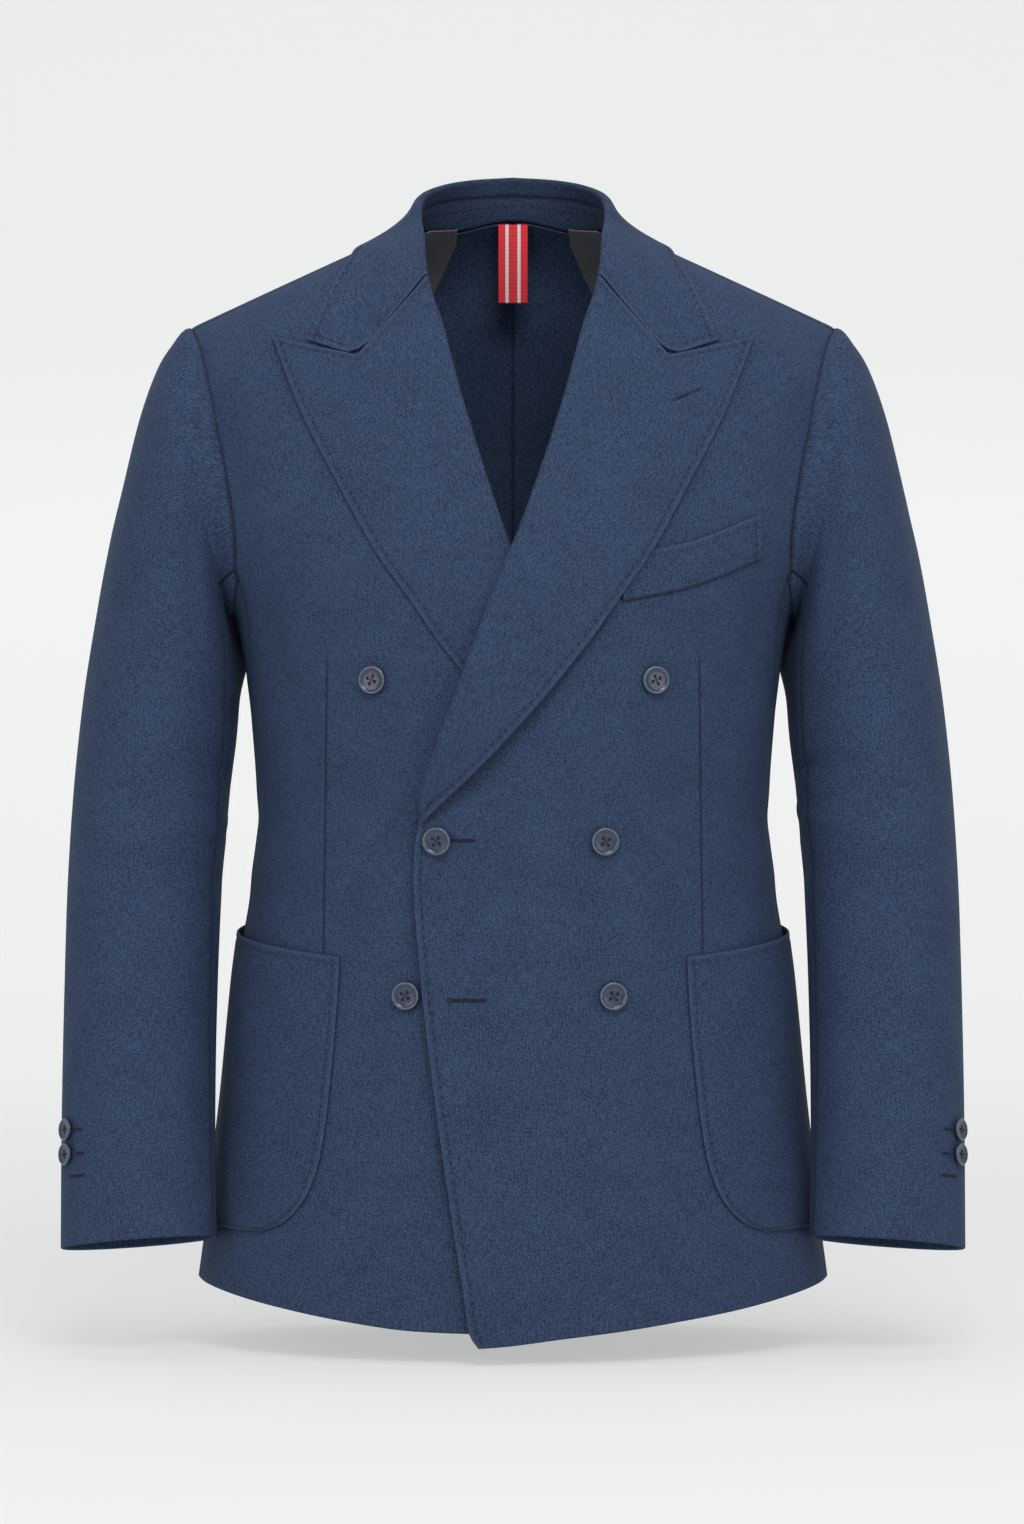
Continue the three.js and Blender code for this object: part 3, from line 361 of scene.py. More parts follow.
@dataclass(frozen=True)
class Folds:
    """Soft troughs and ridges of the cloth, each along a short line.

    A line says its side (0 for both), where it starts and ends, its half width and its depth.
    """

    across: float
    down: float
    lines: tuple[tuple[float, ...], ...]

    def lift(self, side: int, a: Number, b: Number) -> Number:
        """Adds up the folds.

        Args:
            side: 1 on the wearer's left, -1 on the right.
            a: Place across the cloth, in the units of the lines.
            b: Place down the cloth.

        Returns:
            How far the cloth moves out at each place.
        """
        scaled = np.asarray(a, float) * self.across, np.asarray(b, float) * self.down
        x, y = np.broadcast_arrays(*scaled)
        total = np.zeros_like(x)
        for only, a0, b0, a1, b1, width, depth in self.lines:
            if only not in (0, side):
                continue
            start = np.array([a0 * self.across, b0 * self.down])
            way = np.array([a1 * self.across, b1 * self.down]) - start
            u = np.clip(((x - start[0]) * way[0] + (y - start[1]) * way[1]) / (way @ way), 0, 1)
            gap = np.hypot(x - start[0] - u * way[0], y - start[1] - u * way[1])
            total = total + depth * bell(gap, width)
        return total


# By turn round the body and height
BODY_FOLDS = Folds(across=3.3, down=1.0, lines=(
    (1, -4, -398, 40, -372, 12, -0.9), (1, 0, -418, 46, -436, 14, 0.8),
    (1, 8, -440, 44, -478, 16, -0.7), (-1, 18, -392, 52, -362, 13, -0.8),
    (-1, 22, -425, 58, -440, 15, 0.7), (0, 62, -262, 50, -345, 15, -1.3),
    (0, 54, -150, 58, -240, 16, -1.5), (0, 72, -380, 100, -398, 12, -1.4),
    (0, 70, -418, 98, -432, 13, 1.0), (1, 34, -520, 30, -722, 26, -1.1),
    (-1, 40, -500, 44, -716, 28, -1.2), (1, 10, -560, 12, -728, 30, 0.8),
    (0, 116, -110, 121, -236, 17, -3.3), (0, 132, -130, 134, -260, 20, 2.0),
    (1, 124, -368, 168, -386, 12, -2.8), (-1, 128, -378, 172, -392, 13, -2.4),
    (1, 120, -398, 160, -420, 14, 2.0), (-1, 122, -406, 164, -424, 13, 1.9),
    (0, 112, -430, 150, -452, 15, -2.0), (1, 150, -500, 146, -700, 27, -3.2),
    (-1, 153, -510, 158, -700, 29, -2.9), (0, 128, -520, 124, -702, 24, 2.3),
    (0, 172, -60, 176, -150, 26, -0.9), (0, 98, -520, 102, -700, 22, -1.6),
))
# By turn round the sleeve and place along it
SLEEVE_FOLDS = Folds(across=0.95, down=58.0, lines=(
    (0, 96, 1.5, 108, 4.4, 11, -1.7), (0, 70, 1.8, 78, 4.8, 15, 0.9),
    (0, -100, 1.4, -118, 4.2, 12, -1.9), (0, -66, 1.6, -74, 5.0, 15, 1.0),
    (1, 110, 7.2, 168, 6.7, 8, -1.9), (-1, 104, 7.4, 166, 6.9, 8, -1.8),
    (1, 122, 7.9, 178, 7.6, 7, 1.3), (-1, 118, 8.0, 176, 7.8, 7, 1.2),
    (1, 114, 8.4, 174, 8.5, 9, -1.6), (-1, 112, 8.5, 172, 8.7, 9, -1.7),
    (0, 120, 5.6, 172, 5.2, 9, -1.2), (1, 22, 4.5, 34, 9.4, 17, -0.9),
    (-1, 26, 5.0, 36, 9.8, 17, -0.9), (0, -30, 5.2, -22, 8.6, 18, -1.1),
    (0, -110, 6.6, -160, 7.2, 10, -2.6), (0, -112, 7.6, -158, 8.1, 10, 1.8),
    (0, -118, 8.8, -162, 8.6, 10, -2.2), (0, 62, 8.8, 66, 11.4, 15, 0.8),
    (0, 100, 9.4, 104, 11.6, 14, -1.0), (0, 150, 9.6, 152, 11.4, 13, -0.9),
))


@dataclass(frozen=True)
class Lap:
    """How far the left front stands off the form where it laps over the right one."""

    lapel: float = 6.0
    skirt: float = 3.0
    spring: float = 4.2
    reach: float = 34.0
    fades: Pair = (62.0, 120.0)
    under_lapel: Pair = (120.0, 198.0)
    below_lapel: Pair = (392.0, 450.0)
    springs: Pair = (340.0, 400.0)

    def lift(self, side: int, x: Number, z: Number) -> Number:
        """Finds the lift of a front.

        Args:
            side: 1 for the left front, -1 for the right one, which has none.
            x: Distance from the centre line.
            z: Height.

        Returns:
            The lift at each place.
        """
        if side < 0:
            return np.zeros(np.broadcast_shapes(np.shape(x), np.shape(z)))
        across = 1 - smoothstep(x, *self.fades)
        drop = -np.asarray(z)
        edge = 1 - smoothstep(x - INNER_EDGE.at("x", z), 0, self.reach)
        height = lerp(self.lapel, self.skirt, smoothstep(drop, *self.below_lapel))
        lap = across * smoothstep(drop, *self.under_lapel) * height
        return lap + self.spring * edge * smoothstep(drop, *self.springs)


LAP = Lap()


def front_out(side: int, x: Number, z: Number) -> Number:
    """How far the outside of a front stands off the form."""
    return LAP.lift(side, x, z) + BODY_FOLDS.lift(side, np.degrees(FORM.turn_at(x, z)), z)


class Edge(Enum):
    """How an edge of a panel is finished: distances of its support lines from the edge."""

    ROLLED = (0.4,)
    PLAIN = (1.0,)
    SEAM = (0.7, 2.0)
    FOLDED = (0.8, 2.2, STITCH_INSET, 6.4)
    TUCKED = (1.4, 2.8, 4.0, 4.8, 6.0, 8.0, 10.5)


class Side(Enum):
    """A side of a panel's grid: the axis that leads to it, and whether it is the far one."""

    FIRST_ROW = (0, False)
    LAST_ROW = (0, True)
    FIRST_COLUMN = (1, False)
    LAST_COLUMN = (1, True)


# How each finish raises or sinks the cloth beside the edge, and where it paints shade and a highlight on
# it
LIFTS = {
    Edge.SEAM: (Crease(0.0, 1.5, -0.55),),
    Edge.TUCKED: (Crease(10.5, 4.5, 0.45),),
    Edge.FOLDED: (Crease(STITCH_INSET, 1.0, -0.4), Crease(2.0, 1.0, 0.12)),
}
PAINTED_SHADES = {
    Edge.SEAM: (Crease(0.0, 1.1, 0.75),),
    Edge.TUCKED: (Crease(4.2, 1.6, 0.85),),
    Edge.FOLDED: (Crease(STITCH_INSET, 0.8, 0.25),),
}
PAINTED_HIGHLIGHTS = {Edge.FOLDED: (Crease(0.4, 0.9, 1.0),)}


def rims(first_row: Edge, last_row: Edge, first_column: Edge, last_column: Edge) -> dict[Side, Edge]:
    """How the four sides of a panel are finished."""
    return dict(zip(Side, (first_row, last_row, first_column, last_column)))


def sample(line: Points, lengths: Points, at: Points) -> Points:
    """Points at some lengths along a line."""
    return np.stack([np.interp(at, lengths, channel) for channel in line.T], -1)


def arc_lengths(rows: Points) -> Points:
    """Length from the start of each row to each of its points."""
    steps = np.linalg.norm(np.diff(rows[..., :3], axis=1), axis=2)
    return np.concatenate([np.zeros((len(rows), 1)), np.cumsum(steps, axis=1)], axis=1)


def respaced(rows: Points, starts: Sequence[float], ends: Sequence[float],
             marks: Sequence[Points] = ()) -> Points:
    """Spreads the points of each row evenly, with support points near its ends.

    Args:
        rows: Rows of points, with any further channels after the coordinates.
        starts: Distances of the support points from the start of a row.
        ends: Distances of the support points from its end.
        marks: Lengths along each row that also get a point.

    Returns:
        The rows, all with the same number of points.
    """
    lengths = arc_lengths(rows)
    total = lengths[:, -1]
    fit = np.minimum(1, 0.4 * total / max(starts[-1], ends[-1]))
    knots = [np.zeros_like(total)] + [d * fit for d in starts] + list(marks)
    knots += [total - d * fit for d in reversed(ends)] + [total]
    places = []
    for a, b in zip(knots, knots[1:]):
        parts = max(int(round(float(np.mean(b - a)) / SPACING)), 1)
        places += [lerp(a, b, k / parts) for k in range(parts)]
    spots = np.maximum.accumulate(np.stack(places + [total], 1), axis=1)
    return np.array([sample(row, length, at) for row, length, at in zip(rows, lengths, spots)])


def smooth_through(rows: Points, count: int) -> Points:
    """Lays a smooth curve through the points of each row.

    Args:
        rows: Rows of points.
        count: Number of points wanted between two of the given ones.

    Returns:
        The rows with the points between added.
    """
    lengths = arc_lengths(rows)
    before, after = neighbours(rows.shape[1])
    slope = (rows[:, after] - rows[:, before]) / (lengths[:, after] - lengths[:, before])[..., None]
    span = np.diff(lengths, axis=1)[..., None]
    rise = np.diff(rows, axis=1)
    parts = [hermite(rows[:, :-1], rise, slope[:, :-1] * span, slope[:, 1:] * span, k / count)
             for k in range(count)]
    curve = np.stack(parts, 2).reshape(rows.shape[0], -1, rows.shape[2])
    return np.concatenate([curve, rows[:, -1:]], axis=1)


@dataclass
class Patch:
    """One cut piece of cloth as a grid of points at the middle of its thickness."""

    points: Points
    edges: dict[Side, Edge]
    grain: Optional[Points] = None
    thick: float = WALL
    axis: Pair = (0.0, 5.0)
    marks: Callable[[Points], Sequence[Points]] = lambda rows: ()
    # relief gives how far the cloth moves out, and the painted shade on it
    relief: Callable[[Points], tuple[Number, Number]] = lambda points: (0.0, 0.0)
    painted_highlight: Points = field(init=False)
    painted_shade: Points = field(init=False)
    normals: Points = field(init=False)
    facing: int = field(init=False)

    def __post_init__(self) -> None:
        """Spreads the grid evenly, then presses its edges and seams into it."""
        if self.grain is None:
            self.grain = self.straight_grain()
        grid = np.concatenate([self.points, self.grain], axis=2)
        first, last = self.edges[Side.FIRST_COLUMN].value, self.edges[Side.LAST_COLUMN].value
        grid = respaced(grid, first, last, self.marks(grid))
        head, foot = self.edges[Side.FIRST_ROW].value, self.edges[Side.LAST_ROW].value
        grid = respaced(grid.transpose(1, 0, 2), head, foot).transpose(1, 0, 2)
        self.points, self.grain = grid[..., :3], grid[..., 3:]
        self.normals = self.outward()
        self.press()

    def straight_grain(self) -> Points:
        """Weave coordinates that run along the grid, in millimetres."""
        return np.stack([arc_lengths(self.points), arc_lengths(self.points.transpose(1, 0, 2)).T], -1)

    def outward(self) -> Points:
        """Unit normals of the grid, away from the axis of the piece."""
        normals = unit(np.cross(np.gradient(self.points, axis=0), np.gradient(self.points, axis=1)))
        away = self.points[..., :2] - np.array(self.axis)
        self.facing = 1 if np.sum(normals[..., :2] * away) > 0 else -1
        return normals * self.facing

    def distance(self, side: Side) -> Points:
        """Distance of each point from one side, along the cloth."""
        axis, far = side.value
        rows = self.points if axis else self.points.transpose(1, 0, 2)
        lengths = arc_lengths(rows[:, ::-1])[:, ::-1] if far else arc_lengths(rows)
        return lengths if axis else lengths.T

    def press(self) -> None:
        """Turns seams down, pulls the stitched lines in, and notes where shade and highlights are painted
        on the cloth.
        """
        dip, painted_shade = self.relief(self.points)
        lift = np.zeros(self.points.shape[:2]) + dip
        self.painted_shade = np.zeros_like(lift) + painted_shade
        self.painted_highlight = np.zeros_like(lift)
        for side, edge in self.edges.items():
            d = self.distance(side)
            for sums, creases in ((lift, LIFTS), (self.painted_shade, PAINTED_SHADES), (self.painted_highlight, PAINTED_HIGHLIGHTS)):
                sums += sum(crease.at(d) for crease in creases.get(edge, ()))
        self.points = self.points + self.normals * lift[..., None]

    def line(self, side: Side, index: int = STITCH_LINE) -> tuple[Points, Points]:
        """Finds a line of the grid beside one of its sides.

        Args:
            side: The side.
            index: Number of the line from that side.

        Returns:
            Points on the outside of the cloth, and the normals there.
        """
        axis, far = side.value
        at = -1 - index if far else index
        take = (slice(None), at) if axis else (at, slice(None))
        normal = self.normals[take]
        return self.points[take] + normal * self.thick / 2, normal

    def seen_line(self, start: Pair, end: Pair) -> tuple[Points, Points]:
        """Finds a line on the outside of the cloth between two places seen from the front.

        Args:
            start: Distance of its start from the centre line, and height.
            end: The same for its end.

        Returns:
            Its points and the normals there.
        """
        outer = self.points + self.normals * self.thick / 2
        turned_away = self.normals[..., 1] > 0
        points, normals = [], []
        for u in np.linspace(0, 1, 7):
            x, z = lerp(start[0], end[0], u), lerp(start[1], end[1], u)
            gap = np.hypot(outer[..., 0] - x, outer[..., 2] - z) + 40.0 * turned_away
            near = np.argsort(gap, axis=None)[:4]
            weight = 1 / (gap.ravel()[near] + 1e-3)
            weight = weight / weight.sum()
            points.append([x, float(weight @ outer.reshape(-1, 3)[near, 1]), z])
            normals.append(unit(weight @ self.normals.reshape(-1, 3)[near]))
        return np.array(points), np.array(normals)

    def cut(self) -> Triple:
        """Width, length and area of the flat piece, in metres."""
        across = arc_lengths(self.points)[:, -1].max() * MM
        down = arc_lengths(self.points.transpose(1, 0, 2))[:, -1].max() * MM
        a = self.points[1:, 1:] - self.points[:-1, :-1]
        b = self.points[1:, :-1] - self.points[:-1, 1:]
        area = float(np.linalg.norm(np.cross(a, b), axis=2).sum() / 2) * MM * MM
        return across, down, min(area, across * down)

    def mesh(self, name: str, side: int = 1) -> Mesh:
        """Makes the closed shell with rounded rims.

        Args:
            name: Name of the mesh.
            side: 1 to keep the piece on the wearer's left, -1 to mirror it.

        Returns:
            The mesh, with the weave, painted highlight and painted shade attributes.
        """
        nj, ni = self.points.shape[:2]
        push = np.zeros_like(self.points)
        for rim, inner in ((0, 1), (-1, -2)):
            push[rim] += unit(self.points[rim] - self.points[inner])
            push[:, rim] += unit(self.points[:, rim] - self.points[:, inner])
        half = self.normals * self.thick / 2
        number = np.arange(nj * ni).reshape(nj, ni)
        loop = np.concatenate([number[0, :-1], number[:-1, -1], number[-1, :0:-1], number[:0:-1, 0]])
        flat = self.points.reshape(-1, 3)
        rim = (flat + unit(push.reshape(-1, 3)) * self.thick * RIM)[loop]
        outside, inside = (self.points + half).reshape(-1, 3), (self.points - half).reshape(-1, 3)
        places = np.concatenate([outside, inside, rim])
        corners = number[:-1, :-1], number[1:, :-1], number[1:, 1:], number[:-1, 1:]
        near = np.stack(corners, -1).reshape(-1, 4)
        a, b = loop, np.roll(loop, -1)
        ra = 2 * nj * ni + np.arange(len(loop))
        rb = np.roll(ra, -1)
        faces = np.concatenate([
            near, near[:, ::-1] + nj * ni,
            np.stack([a, b, rb, ra], -1), np.stack([ra, rb, b + nj * ni, a + nj * ni], -1),
        ])
        if self.facing * side < 0:
            faces = faces[:, ::-1]
        mesh = new_mesh(name, mirrored(places, side), faces)
        order = np.concatenate([np.arange(nj * ni), np.arange(nj * ni), loop])
        weave = np.concatenate([self.grain, np.zeros((nj, ni, 1))], axis=2).reshape(-1, 3)
        keep(mesh, "weave", weave[order])
        keep(mesh, "painted_highlight", np.clip(self.painted_highlight, 0, 1).ravel()[order])
        keep(mesh, "painted_shade", np.clip(self.painted_shade, 0, 1).ravel()[order])
        return mesh


def new_mesh(name: str, places: Points, faces: Points) -> Mesh:
    """Makes a smooth mesh from points in millimetres.

    Args:
        name: Name of the mesh.
        places: The points.
        faces: Corner numbers of the faces, a row each.

    Returns:
        The mesh, in metres.
    """
    mesh = bpy.data.meshes.new(name)
    mesh.from_pydata((places * MM).tolist(), [], [list(face) for face in faces])
    mesh.polygons.foreach_set("use_smooth", [True] * len(mesh.polygons))
    mesh.update()
    return mesh


def keep(mesh: Mesh, name: str, values: Points) -> None:
    """Stores a number or a vector for each point of a mesh."""
    kind, key = ("FLOAT_VECTOR", "vector") if values.ndim == 2 else ("FLOAT", "value")
    attribute = mesh.attributes.new(name, kind, "POINT")
    attribute.data.foreach_set(key, values.astype(np.float32).ravel())


Term = Union["Wire", float]


class Wire:
    """A shader socket that can stand in a Python expression."""

    def __init__(self, surface: "Surface", socket: bpy.types.NodeSocket) -> None:
        """Keeps the socket and the surface whose nodes it belongs to."""
        self.surface, self.socket = surface, socket

    def math(self, operation: str, *terms: Term) -> "Wire":
        """Adds a Math node over the terms."""
        return self.surface.node("ShaderNodeMath", {"operation": operation}, dict(enumerate(terms)))

    def __add__(self, other: Term) -> "Wire":
        """Sum with a value."""
        return self.math("ADD", self, other)

    __radd__ = __add__

    def __sub__(self, other: Term) -> "Wire":
        """Difference from a value."""
        return self.math("SUBTRACT", self, other)

    def __rsub__(self, other: Term) -> "Wire":
        """A value less this one."""
        return self.math("SUBTRACT", other, self)

    def __mul__(self, other: Term) -> "Wire":
        """Product with a value."""
        return self.math("MULTIPLY", self, other)

    __rmul__ = __mul__

    def sine(self) -> "Wire":
        """Sine of the value."""
        return self.math("SINE", self)

    def size(self) -> "Wire":
        """The value without its sign."""
        return self.math("ABSOLUTE", self)

    def step(self, low: float, high: float) -> "Wire":
        """Soft step from 0 at low to 1 at high."""
        return self.surface.node(
            "ShaderNodeMapRange", {"interpolation_type": "SMOOTHSTEP"},
            {"Value": self, "From Min": low, "From Max": high})


class Surface:
    """A material and the nodes that dress it."""

    def __init__(self, name: str) -> None:
        """Starts a material with a plain shader."""
        self.material = bpy.data.materials.new(name)
        self.material.use_nodes = True
        self.tree = self.material.node_tree
        self.shader = self.tree.nodes["Principled BSDF"]

    def node(self, kind: str, settings: dict[str, object], inputs: dict[Union[str, int], object],
             output: Union[str, int] = 0) -> Wire:
        """Adds one node.

        Args:
            kind: The node's type.
            settings: Its own settings, set first.
            inputs: Values or wires for its sockets, by name or number.
            output: The socket that the node is read from.

        Returns:
            That socket, as a wire.
        """
        made = self.tree.nodes.new(kind)
        for key, value in settings.items():
            setattr(made, key, value)
        self.plug(made, inputs)
        return Wire(self, made.outputs[output])

    def plug(self, node: bpy.types.Node, inputs: dict[Union[str, int], object]) -> None:
        """Sets or links sockets of a node."""
        for key, value in inputs.items():
            if isinstance(value, Wire):
                self.tree.links.new(value.socket, node.inputs[key])
            else:
                node.inputs[key].default_value = value

    def attribute(self, name: str, output: str) -> Wire:
        """Reads what a mesh keeps for each of its points."""
        return self.node("ShaderNodeAttribute", {"attribute_name": name}, {}, output)

    def split(self, vector: Wire) -> tuple[Wire, ...]:
        """The three coordinates of a place."""
        first = self.node("ShaderNodeSeparateXYZ", {}, {0: vector})
        return tuple(Wire(self, output) for output in first.socket.node.outputs)

    def scaled(self, vector: Wire, by: Triple) -> Wire:
        """Stretches coordinates."""
        return self.node("ShaderNodeVectorMath", {"operation": "MULTIPLY"}, {0: vector, 1: by})

    def noise(self, vector: Wire, scale: float, detail: float = 3.0, rough: float = 0.55) -> Wire:
        """Soft noise between 0 and 1 over some coordinates."""
        return self.node("ShaderNodeTexNoise", {}, {
            "Vector": vector, "Scale": scale, "Detail": detail, "Roughness": rough})

    def blend(self, share: Term, first: object, second: object) -> Wire:
        """Mixes two colours."""
        return self.node("ShaderNodeMix", {"data_type": "RGBA"}, {0: share, 6: first, 7: second}, 2)

    def bump(self, height: Wire, depth: float, strength: float = 1.0) -> Wire:
        """Turns a height from 0 to 1 into a normal, over a depth in metres."""
        return self.node("ShaderNodeBump", {}, {
            "Height": height, "Distance": depth, "Strength": strength})

    def feed(self, values: dict[str, object]) -> Material:
        """Sets or links sockets of the shader.

        Args:
            values: Numbers, colours or wires by the name of the socket.

        Returns:
            The finished material.
        """
        self.plug(self.shader, values)
        return self.material


def paint(red: int, green: int, blue: int) -> tuple[float, float, float, float]:
    """Colour for a shader socket from screen values of 0 to 255."""
    shares = [c / 255 for c in (red, green, blue)]
    linear = [c / 12.92 if c <= 0.04045 else ((c + 0.055) / 1.055) ** 2.4 for c in shares]
    return (*linear, 1.0)


@dataclass(frozen=True)
class Melange:
    """Navy melange suiting: uneven yarns down the piece, faint clouds, a painted highlight along folded
    edges and painted shade in seams, stitch lines and hollows.
    """

    dark: Shade = (25, 38, 61)
    light: Shade = (56, 73, 102)
    rubbed: Shade = (66, 80, 108)
    shade_colour: Shade = (12, 16, 27)
    fuzz: Shade = (120, 138, 172)
    yarn: float = 0.85
    warp: Triple = (0.95, 0.13, 1.0)
    weft: Triple = (0.2, 1.3, 1.0)
    weave_depth: float = 0.00035

    def material(self) -> Material:
        """Makes the cloth's material.

        Returns:
            The material.
        """
        s = Surface("navy_melange")
        weave = s.attribute("weave", "Vector")
        warp = s.noise(s.scaled(weave, self.warp), 1.0, 3.0, 0.65)
        weft = s.noise(s.scaled(weave, self.weft), 1.0, 3.0, 0.6)
        fleck = s.noise(weave, 0.8, 4.0, 0.75)
        cloud = s.noise(weave, 0.03, 3.0, 0.55)
        tone = (0.5 + (warp - 0.5) * 1.5 + (weft - 0.5) * 0.9
                + (fleck - 0.5) * 4.2 + (cloud - 0.5) * 0.35)
        ground = s.blend(tone.step(0.0, 1.0), paint(*self.dark), paint(*self.light))
        # Painted highlight along the folded edges
        highlighted = s.blend(s.attribute("painted_highlight", "Fac") * 0.3, ground, paint(*self.rubbed))
        # Painted shade in the seams, the stitch lines, the dart and the collar's inner leg and stand
        colour = s.blend(s.attribute("painted_shade", "Fac") * 0.7, highlighted, paint(*self.shade_colour))
        across, down, _ = s.split(weave)
        pitch = 2 * math.pi / self.yarn
        threads = (across * pitch).sine() * (down * pitch).sine()
        height = threads * 0.16 + fleck * 0.5 + warp * 0.34
        return s.feed({
            "Base Color": colour,
            "Roughness": 0.82 + (fleck - 0.5) * 0.2,
            "Normal": s.bump(height, self.weave_depth, 0.7),
            "Specular IOR Level": 0.22,
            "Sheen Weight": 0.08,
            "Sheen Roughness": 0.4,
            "Sheen Tint": paint(*self.fuzz),
        })


@dataclass(frozen=True)
class Satin:
    """Dark lining with a soft satin gloss."""

    dark: Shade = (66, 67, 71)
    light: Shade = (110, 111, 117)
    threads: Triple = (2.2, 0.08, 1.0)
    sweeps: Triple = (0.05, 0.02, 1.0)

    def material(self) -> Material:
        """Makes the lining's material.

        Returns:
            The material.
        """
        s = Surface("satin_lining")
        weave = s.attribute("weave", "Vector")
        thread = s.noise(s.scaled(weave, self.threads), 1.0, 2.0)
        sweep = s.noise(s.scaled(weave, self.sweeps), 1.0, 2.0)
        tone = thread * 0.4 + sweep * 0.6
        return s.feed({
            "Base Color": s.blend(tone, paint(*self.dark), paint(*self.light)),
            "Roughness": 0.36 + (thread - 0.5) * 0.12,
            "Normal": s.bump(thread * 0.3 + sweep, 0.0008, 0.5),
            "Specular IOR Level": 0.5,
            "Sheen Weight": 0.1,
        })


@dataclass(frozen=True)
class Grosgrain:
    """Ribbed ribbon, red with two narrow white stripes."""

    red: Shade = (236, 46, 58)
    white: Shade = (238, 232, 236)
    shadow: Shade = (70, 20, 26)
    width: float = 20.0
    stripe: float = 2.2
    stripe_from_middle: float = 4.2
    blur: float = 0.12
    rib: float = 0.95

    def material(self) -> Material:
        """Makes the ribbon's material.

        Returns:
            The material.
        """
        s = Surface("red_grosgrain")
        weave = s.attribute("weave", "Vector")
        across, down, _ = s.split(weave)
        off = ((across - self.width / 2).size() - self.stripe_from_middle).size()
        stripe = 1 - off.step(self.stripe / 2 - self.blur, self.stripe / 2 + self.blur)
        rib = (down * (2 * math.pi / self.rib)).sine() * 0.5 + 0.5
        grain = s.noise(weave, 2.5, 3.0)
        dyed = s.blend(stripe, paint(*self.red), paint(*self.white))
        shaded = s.blend((1 - rib) * 0.12 + grain * 0.14, dyed, paint(*self.shadow))
        return s.feed({
            "Base Color": shaded,
            "Roughness": 0.6 + (grain - 0.5) * 0.15,
            "Normal": s.bump(rib, 0.00025, 0.8),
            "Specular IOR Level": 0.3,
        })


@dataclass(frozen=True)
class Horn:
    """Polished navy grey button horn with faint streaks, a painted highlight on the rim and painted shade
    in the holes and round the dish.
    """

    dark: Shade = (22, 34, 54)
    light: Shade = (44, 61, 90)
    rubbed: Shade = (120, 134, 156)
    shade_colour: Shade = (5, 7, 11)
    streaks: Triple = (0.25, 0.9, 0.6)

    def material(self) -> Material:
        """Makes the buttons' material.

        Returns:
            The material.
        """
        s = Surface("navy_horn")
        place = s.attribute("weave", "Vector")
        streak = s.noise(s.scaled(place, self.streaks), 1.0, 4.0, 0.6)
        scratch = s.noise(place, 4.0, 2.0)
        colour = s.blend(streak.step(0.35, 0.7), paint(*self.dark), paint(*self.light))
        # Painted highlight on the rim, then painted shade in the holes and round the dish
        highlighted = s.blend(s.attribute("painted_highlight", "Fac") * 0.4, colour, paint(*self.rubbed))
        return s.feed({
            "Base Color": s.blend(s.attribute("painted_shade", "Fac"), highlighted, paint(*self.shade_colour)),
            "Roughness": 0.3 + (scratch - 0.5) * 0.1,
            "Normal": s.bump(scratch, 0.00004, 0.5),
            "Specular IOR Level": 0.5,
            "Coat Weight": 0.35,
            "Coat Roughness": 0.15,
        })


@dataclass(frozen=True)
class Twist:
    """Sewing thread with a fine twist."""

    name: str
    shade: Shade

    def material(self) -> Material:
        """Makes the thread's material.

        Returns:
            The material.
        """
        s = Surface(self.name)
        place = s.node("ShaderNodeTexCoord", {}, {}, "Object")
        twist = s.noise(place, 2600.0, 2.0)
        deep = tuple(int(c * 0.6) for c in self.shade)
        return s.feed({
            "Base Color": s.blend(twist, paint(*deep), paint(*self.shade)),
            "Roughness": 0.6 + (twist - 0.5) * 0.2,
            "Normal": s.bump(twist, 0.0001, 0.6),
            "Specular IOR Level": 0.3,
        })


@dataclass(frozen=True)
class Finishes:
    """All the finishes of the garment, made once."""

    cloth: Material = field(default_factory=Melange().material)
    lining: Material = field(default_factory=Satin().material)
    ribbon: Material = field(default_factory=Grosgrain().material)
    button: Material = field(default_factory=Horn().material)
    thread: Material = field(default_factory=Twist("navy_thread", (30, 38, 58)).material)
    cross: Material = field(default_factory=Twist("button_thread", (44, 54, 72)).material)


def placed(name: str, data: bpy.types.ID) -> bpy.types.Object:
    """Adds an object with a mesh, a light or a camera to the scene."""
    made = bpy.data.objects.new(name, data)
    bpy.context.scene.collection.objects.link(made)
    return made


def piece(mesh: Mesh, finish: Material, slot: str, *nodes: str) -> bpy.types.Object:
    """Places a mesh as a piece of the garment.

    Args:
        mesh: The mesh, already where it belongs.
        finish: Its material.
        slot: Not used.
        *nodes: The CAD nodes that it stands for.

    Returns:
        The object.
    """
    made = placed(mesh.name, mesh)
    mesh.materials.append(finish)
    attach(made, "root")
    if nodes:
        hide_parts(*nodes)
    stands_for = ", ".join(nodes) or "no node"
    log.info("%s: %d faces, stands for %s", made.name, len(mesh.polygons), stands_for)
    return made


